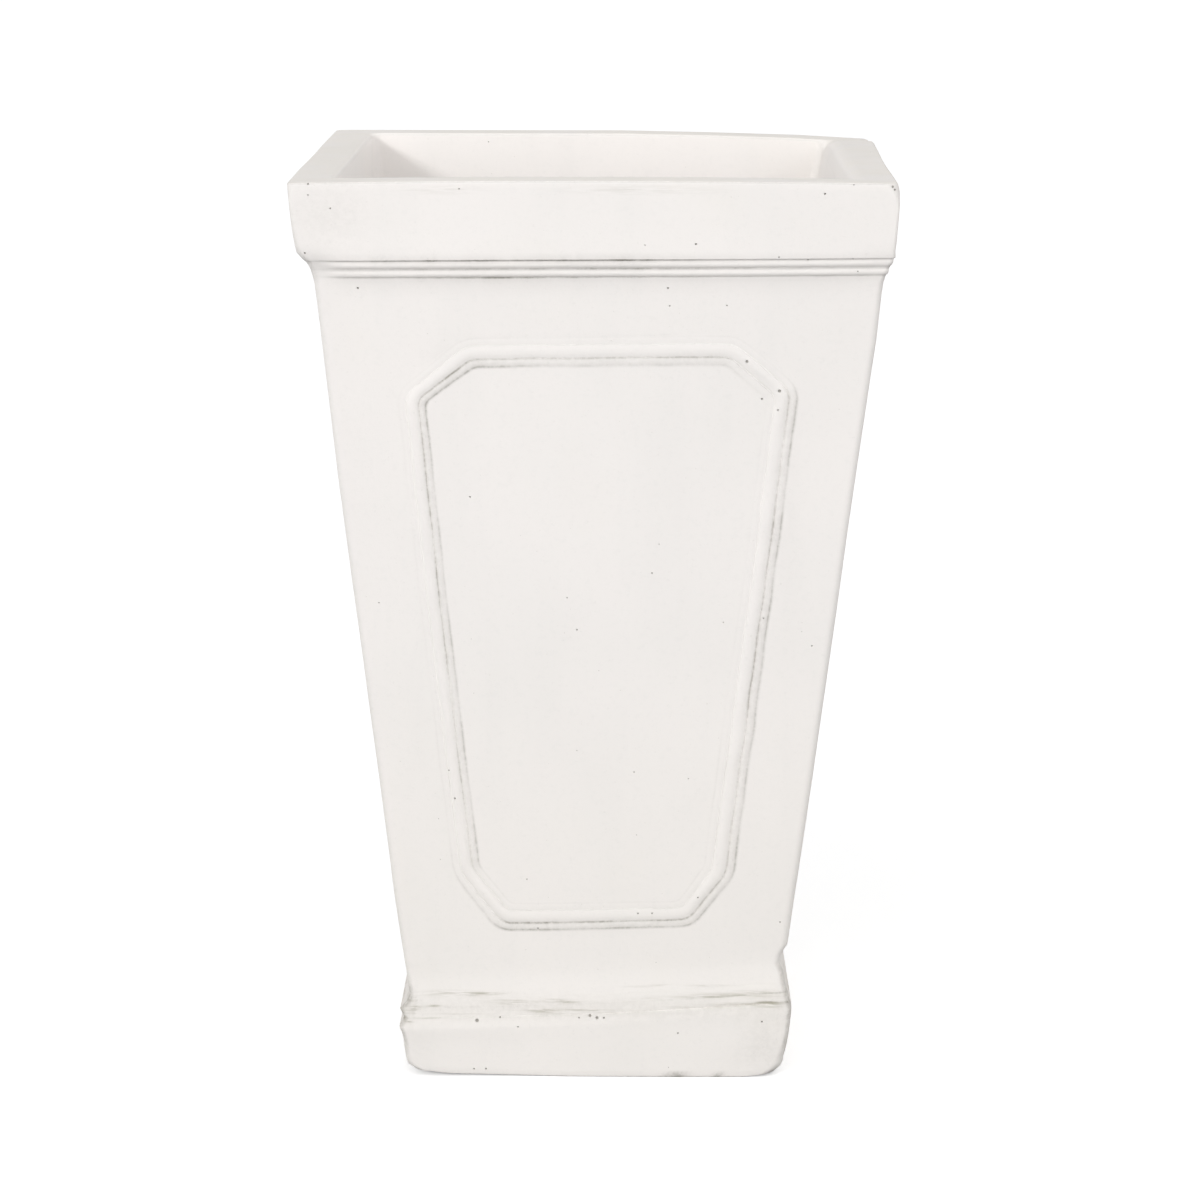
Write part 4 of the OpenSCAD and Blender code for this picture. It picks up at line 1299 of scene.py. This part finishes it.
class PLANTER_OT_floor_slab(bpy.types.Operator):
    """The floor, smoothed by hand, with its drain hole"""

    bl_idname = "planter.floor_slab"
    bl_label = "Floor slab"

    def execute(self, context):
        scene = context.scene
        shape, colours = scene.planter_shape, scene.planter_colours
        low, high = FLOOR_LOW.z, FLOOR_HIGH.z
        columns = square_columns(*INSIDE_COLUMNS)

        def evenly(start, stop, count):
            """Evenly spaced values from start up to but not including stop."""
            return np.linspace(start, stop, count, endpoint=False)

        # numbers of rings out along the underside, up the edge or down the drain hole, and in along the top
        out, up, back = 39, 6, 40
        share = np.concatenate([evenly(0, 1, out), np.ones(up), evenly(1, 0, back), np.zeros(up)])
        z = np.concatenate([
            np.full(out, low), evenly(low, high, up), np.full(back, high), evenly(high, low, up)
        ])
        edge = body_half(shape, z) - shape.face_coat - shape.backing + FLOOR_KEY
        half = np.repeat(edge[:, None], len(columns[0]), axis=1)
        square = square_rings(half, z[:, None], np.full((len(z), 1), INSIDE_R), columns)
        # the rings change from the round hole to the square edge
        heading = square[..., :2] / np.linalg.norm(square[..., :2], axis=2, keepdims=True)
        points = square.copy()
        spread = share[:, None, None] ** 1.3
        points[..., :2] = (1 - spread) * DRAIN_R * heading + spread * square[..., :2]
        away = smooth(0.02, 0.05, np.linalg.norm(points[..., :2], axis=2))
        hand_marks = ripples(points, 0.055, 90) + 0.5 * ripples(points, 0.018, 91)
        # the mix was drawn up a little at the walls
        fillet = 0.005 * smooth(0.86, 1.0, np.abs(points[..., :2]).max(axis=2) / edge[:, None]) ** 2
        points[..., 2] += (z == high)[:, None] * away * (0.0006 * hand_marks + fillet)
        points[..., 2] += (z == low)[:, None] * 0.0003 * away * hand_marks
        finish = cement_finish("floor_cement", colours.floor, colours.cement_dark)
        piece = add_mesh("floor_skin", points, grid_faces(*points.shape[:2]), finish, "floor_mix", "planter")
        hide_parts("floor_slab")
        return {"FINISHED"}


class PLANTER_OT_drain_plug(bpy.types.Operator):
    """The rubber plug: a tapered stem in the drain hole under a round head"""

    bl_idname = "planter.drain_plug"
    bl_label = "Drain plug"

    def execute(self, context):
        low, high = PLUG_LOW.z, PLUG_HIGH.z
        head_r, floor_z = PLUG_HIGH.x, FLOOR_HIGH.z
        stem_r = DRAIN_R - PLUG_CLEARANCE
        edge, bevel, brim = PLUG_EDGE_R, PLUG_TIP_BEVEL, PLUG_BRIM_R
        tip_r = stem_r - PLUG_TAPER
        top_r = head_r - edge
        dish = np.linspace(1, 0, 18)[1:-1] * top_r
        # up from the tip's middle, out under the head and in over its dished top, each with its own step
        profile = np.concatenate([
            stretch((PLUG_POLE, low), (tip_r - bevel, low), 0.0015),
            stretch((tip_r - bevel, low), (tip_r, low + bevel), 0.0004),
            stretch((tip_r, low + bevel), (stem_r, low + PLUG_TIP), 0.001),
            stretch((stem_r, low + PLUG_TIP), (stem_r, floor_z), 0.002),
            stretch((stem_r, floor_z), (head_r - brim, floor_z), 0.001),
            bend((head_r - brim, floor_z + brim), brim, -90, 0, 0.0002),
            stretch((head_r, floor_z + brim), (head_r, high - edge), 0.0006),
            bend((top_r, high - edge), edge, 0, 90, 0.0004),
            [(top_r, high)],
            np.stack([dish, high - PLUG_DISH * smooth(top_r, 0.6 * top_r, dish)], axis=1),
            [(PLUG_POLE, high - PLUG_DISH)],
        ])
        points, faces = lathe(profile, 96)
        finish = rubber_finish(context.scene.planter_colours)
        piece = add_mesh("rubber_plug", points, faces, finish, "black_rubber", "plug")
        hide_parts("drain_plug")
        return {"FINISHED"}


def lathe(profile, columns):
    """A profile of radius and height turned about the middle. Its two ends are closed by fans to a pole."""
    angle = 2 * np.pi * np.arange(columns) / columns
    around = np.stack([np.cos(angle), np.sin(angle)], axis=1)
    rings = np.concatenate([
        profile[:, None, :1] * around, np.broadcast_to(profile[:, None, 1:], (len(profile), columns, 1))
    ], axis=2)
    points = np.concatenate([rings.reshape(-1, 3), [(0, 0, profile[0, 1]), (0, 0, profile[-1, 1])]])
    row, column = np.meshgrid(np.arange(len(profile) - 1), np.arange(columns), indexing="ij")
    on = (column + 1) % columns
    quads = np.stack([
        row * columns + column, row * columns + on, (row + 1) * columns + on, (row + 1) * columns + column
    ], axis=-1).reshape(-1, 4)
    first, last = len(points) - 2, len(points) - 1
    start, column = (len(profile) - 1) * columns, np.arange(columns)
    on = (column + 1) % columns
    bottom = np.stack([np.full(columns, first), on, column], axis=1)
    top = np.stack([np.full(columns, last), start + column, start + on], axis=1)
    return points, quads.tolist() + bottom.tolist() + top.tolist()


class PLANTER_OT_fibre_mats(bpy.types.Operator):
    """The glass-fibre mats in the walls, the corners and the floor, which get their woven finish"""

    bl_idname = "planter.fibre_mats"
    bl_label = "Glass-fibre mats"

    def execute(self, context):
        finish = fibre_finish(context.scene.planter_colours)
        for node in ("front_mat", "back_mat", "left_mat", "right_mat", "corner_mats", "floor_mat"):
            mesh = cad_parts[node].data
            mesh.materials.clear()
            mesh.materials.append(finish)
        return {"FINISHED"}


# ---------------------------------------------------------------------------------------------------------
# Studio
# ---------------------------------------------------------------------------------------------------------

def seen_directly(tree):
    """1 for rays from the camera and for what shows in gloss and glass, and 0 for light that falls on the
    object."""
    rays = tree.nodes.new("ShaderNodeLightPath").outputs
    either = tree.nodes.new("ShaderNodeMath")
    either.operation = "MAXIMUM"
    tree.links.new(rays["Is Camera Ray"], either.inputs[0])
    tree.links.new(rays["Is Glossy Ray"], either.inputs[1])
    any_of_three = tree.nodes.new("ShaderNodeMath")
    any_of_three.operation = "MAXIMUM"
    tree.links.new(either.outputs[0], any_of_three.inputs[0])
    tree.links.new(rays["Is Transmission Ray"], any_of_three.inputs[1])
    return any_of_three.outputs[0]


def studio_sky(studio):
    """Soft white light from all round. Its strength in the direction (x, y, z) is low + (high - low) z^2
    - front y + right x. It looks white itself."""
    world = bpy.data.worlds.new("studio_sky")
    world.use_nodes = True
    tree = world.node_tree
    tree.nodes.clear()
    heading = tree.nodes.new("ShaderNodeTexCoord").outputs["Generated"]
    apart = tree.nodes.new("ShaderNodeSeparateXYZ")
    tree.links.new(heading, apart.inputs[0])
    x, y, z = apart.outputs

    def times_plus(first, second, third):
        """The first times the second plus the third."""
        node = tree.nodes.new("ShaderNodeMath")
        node.operation = "MULTIPLY_ADD"
        for socket, value in zip(node.inputs, (first, second, third)):
            if isinstance(value, bpy.types.NodeSocket):
                tree.links.new(value, socket)
            else:
                socket.default_value = value
        return node.outputs[0]

    strength = times_plus(times_plus(z, z, 0), studio.sky_high - studio.sky_low, studio.sky_low)
    strength = times_plus(x, studio.sky_right, times_plus(y, -studio.sky_front, strength))
    light = tree.nodes.new("ShaderNodeBackground")
    tree.links.new(strength, light.inputs["Strength"])
    shown = tree.nodes.new("ShaderNodeBackground")
    shown.inputs["Strength"].default_value = 1.0
    both = tree.nodes.new("ShaderNodeMixShader")
    tree.links.new(seen_directly(tree), both.inputs[0])
    tree.links.new(light.outputs[0], both.inputs[1])
    tree.links.new(shown.outputs[0], both.inputs[2])
    output = tree.nodes.new("ShaderNodeOutputWorld")
    tree.links.new(both.outputs[0], output.inputs["Surface"])
    for node in (light, shown):
        node.inputs["Color"].default_value = (1, 1, 1, 1)
    return world


def floor_finish(studio):
    """A matt pale floor. It looks a little brighter than the light on it makes it, so that its bare parts are
    white and only the planter's shadow shows. From below it can't be seen."""
    f = Finish("studio_floor")
    seen = seen_directly(f.tree)
    pale, white = (studio.floor_tone,) * 3, (1, 1, 1)
    matt = f.add("BsdfDiffuse", {"Color": f.mix(seen, pale, white)}).outputs[0]
    glow = f.add("Emission", {"Strength": f.maths("MULTIPLY", seen, studio.floor_glow)}).outputs[0]
    lit = f.add("AddShader", {0: matt, 1: glow}).outputs[0]
    clear = f.add("BsdfTransparent", {}).outputs[0]
    behind = f.add("NewGeometry", {}).outputs["Backfacing"]
    shader = f.add("MixShader", {0: behind, 1: lit, 2: clear}).outputs[0]
    f.add("OutputMaterial", {"Surface": shader})
    return f.material


def add_lamp(scene, name, power, heading, size):
    """A round soft lamp that looks at the planter's middle from its heading."""
    lamp = bpy.data.lights.new(name, "AREA")
    lamp.energy = power
    lamp.size = size
    lamp.shape = "DISK"
    holder = bpy.data.objects.new(name, lamp)
    heading = Vector(heading).normalized()
    holder.location = Vector((0, 0, TOP_Z / 2)) + heading * scene.planter_studio.lamp_distance
    holder.rotation_euler = (-heading).to_track_quat("-Z", "Y").to_euler()
    scene.collection.objects.link(holder)


class PLANTER_OT_studio(bpy.types.Operator):
    """The floor, the sky, the two soft lamps and the camera"""

    bl_idname = "planter.studio"
    bl_label = "Studio"

    def execute(self, context):
        scene = context.scene
        studio = scene.planter_studio
        mesh = bpy.data.meshes.new("studio_floor")
        reach = studio.floor_size / 2
        corners = [(-reach, -reach, 0), (reach, -reach, 0), (reach, reach, 0), (-reach, reach, 0)]
        mesh.from_pydata(corners, [], [(0, 1, 2, 3)])
        mesh.materials.append(floor_finish(studio))
        ground = bpy.data.objects.new("studio_floor", mesh)
        scene.collection.objects.link(ground)
        scene.world = studio_sky(studio)

        add_lamp(scene, "key_lamp", studio.key, studio.key_heading, studio.key_size)
        add_lamp(scene, "fill_lamp", studio.fill, studio.fill_heading, studio.fill_size)

        lens = bpy.data.cameras.new("camera")
        lens.sensor_width = SENSOR
        lens.lens = studio.lens
        camera = bpy.data.objects.new("camera", lens)
        camera.location = studio.camera
        camera.rotation_euler = Euler((math.pi / 2 - studio.tilt, 0, studio.turn))
        scene.collection.objects.link(camera)
        scene.camera = camera
        scene.view_settings.view_transform = "Standard"
        return {"FINISHED"}


# ---------------------------------------------------------------------------------------------------------
# Sidebar and start
# ---------------------------------------------------------------------------------------------------------

OPERATORS = (
    PLANTER_OT_face_casting,
    PLANTER_OT_panel_mouldings,
    PLANTER_OT_backing_coat,
    PLANTER_OT_floor_slab,
    PLANTER_OT_drain_plug,
    PLANTER_OT_fibre_mats,
    PLANTER_OT_studio,
)


class PLANTER_PT_sidebar(bpy.types.Panel):
    """Lists the pieces of the planter and the sizes and colours that they are made from"""

    bl_idname = "PLANTER_PT_sidebar"
    bl_label = "Planter"
    bl_space_type = "VIEW_3D"
    bl_region_type = "UI"
    bl_category = "Planter"

    def draw(self, context):
        for operator in OPERATORS:
            self.layout.operator(operator.bl_idname)
        for name, group in SETTINGS.items():
            box = self.layout.box()
            box.label(text=group.__doc__)
            for setting in group.__annotations__:
                box.prop(getattr(context.scene, name), setting)


CLASSES = (*SETTINGS.values(), *OPERATORS, PLANTER_PT_sidebar)


def register():
    """Adds the classes, and the settings of every group, to Blender."""
    for kind in CLASSES:
        bpy.utils.register_class(kind)
    for name, group in SETTINGS.items():
        setattr(bpy.types.Scene, name, PointerProperty(type=group))


def unregister():
    """Takes them out again."""
    for name in SETTINGS:
        delattr(bpy.types.Scene, name)
    for kind in reversed(CLASSES):
        bpy.utils.unregister_class(kind)


def main():
    register()
    for operator in OPERATORS:
        family, name = operator.bl_idname.split(".")
        getattr(getattr(bpy.ops, family), name)()


if __name__ == "__main__":
    main()
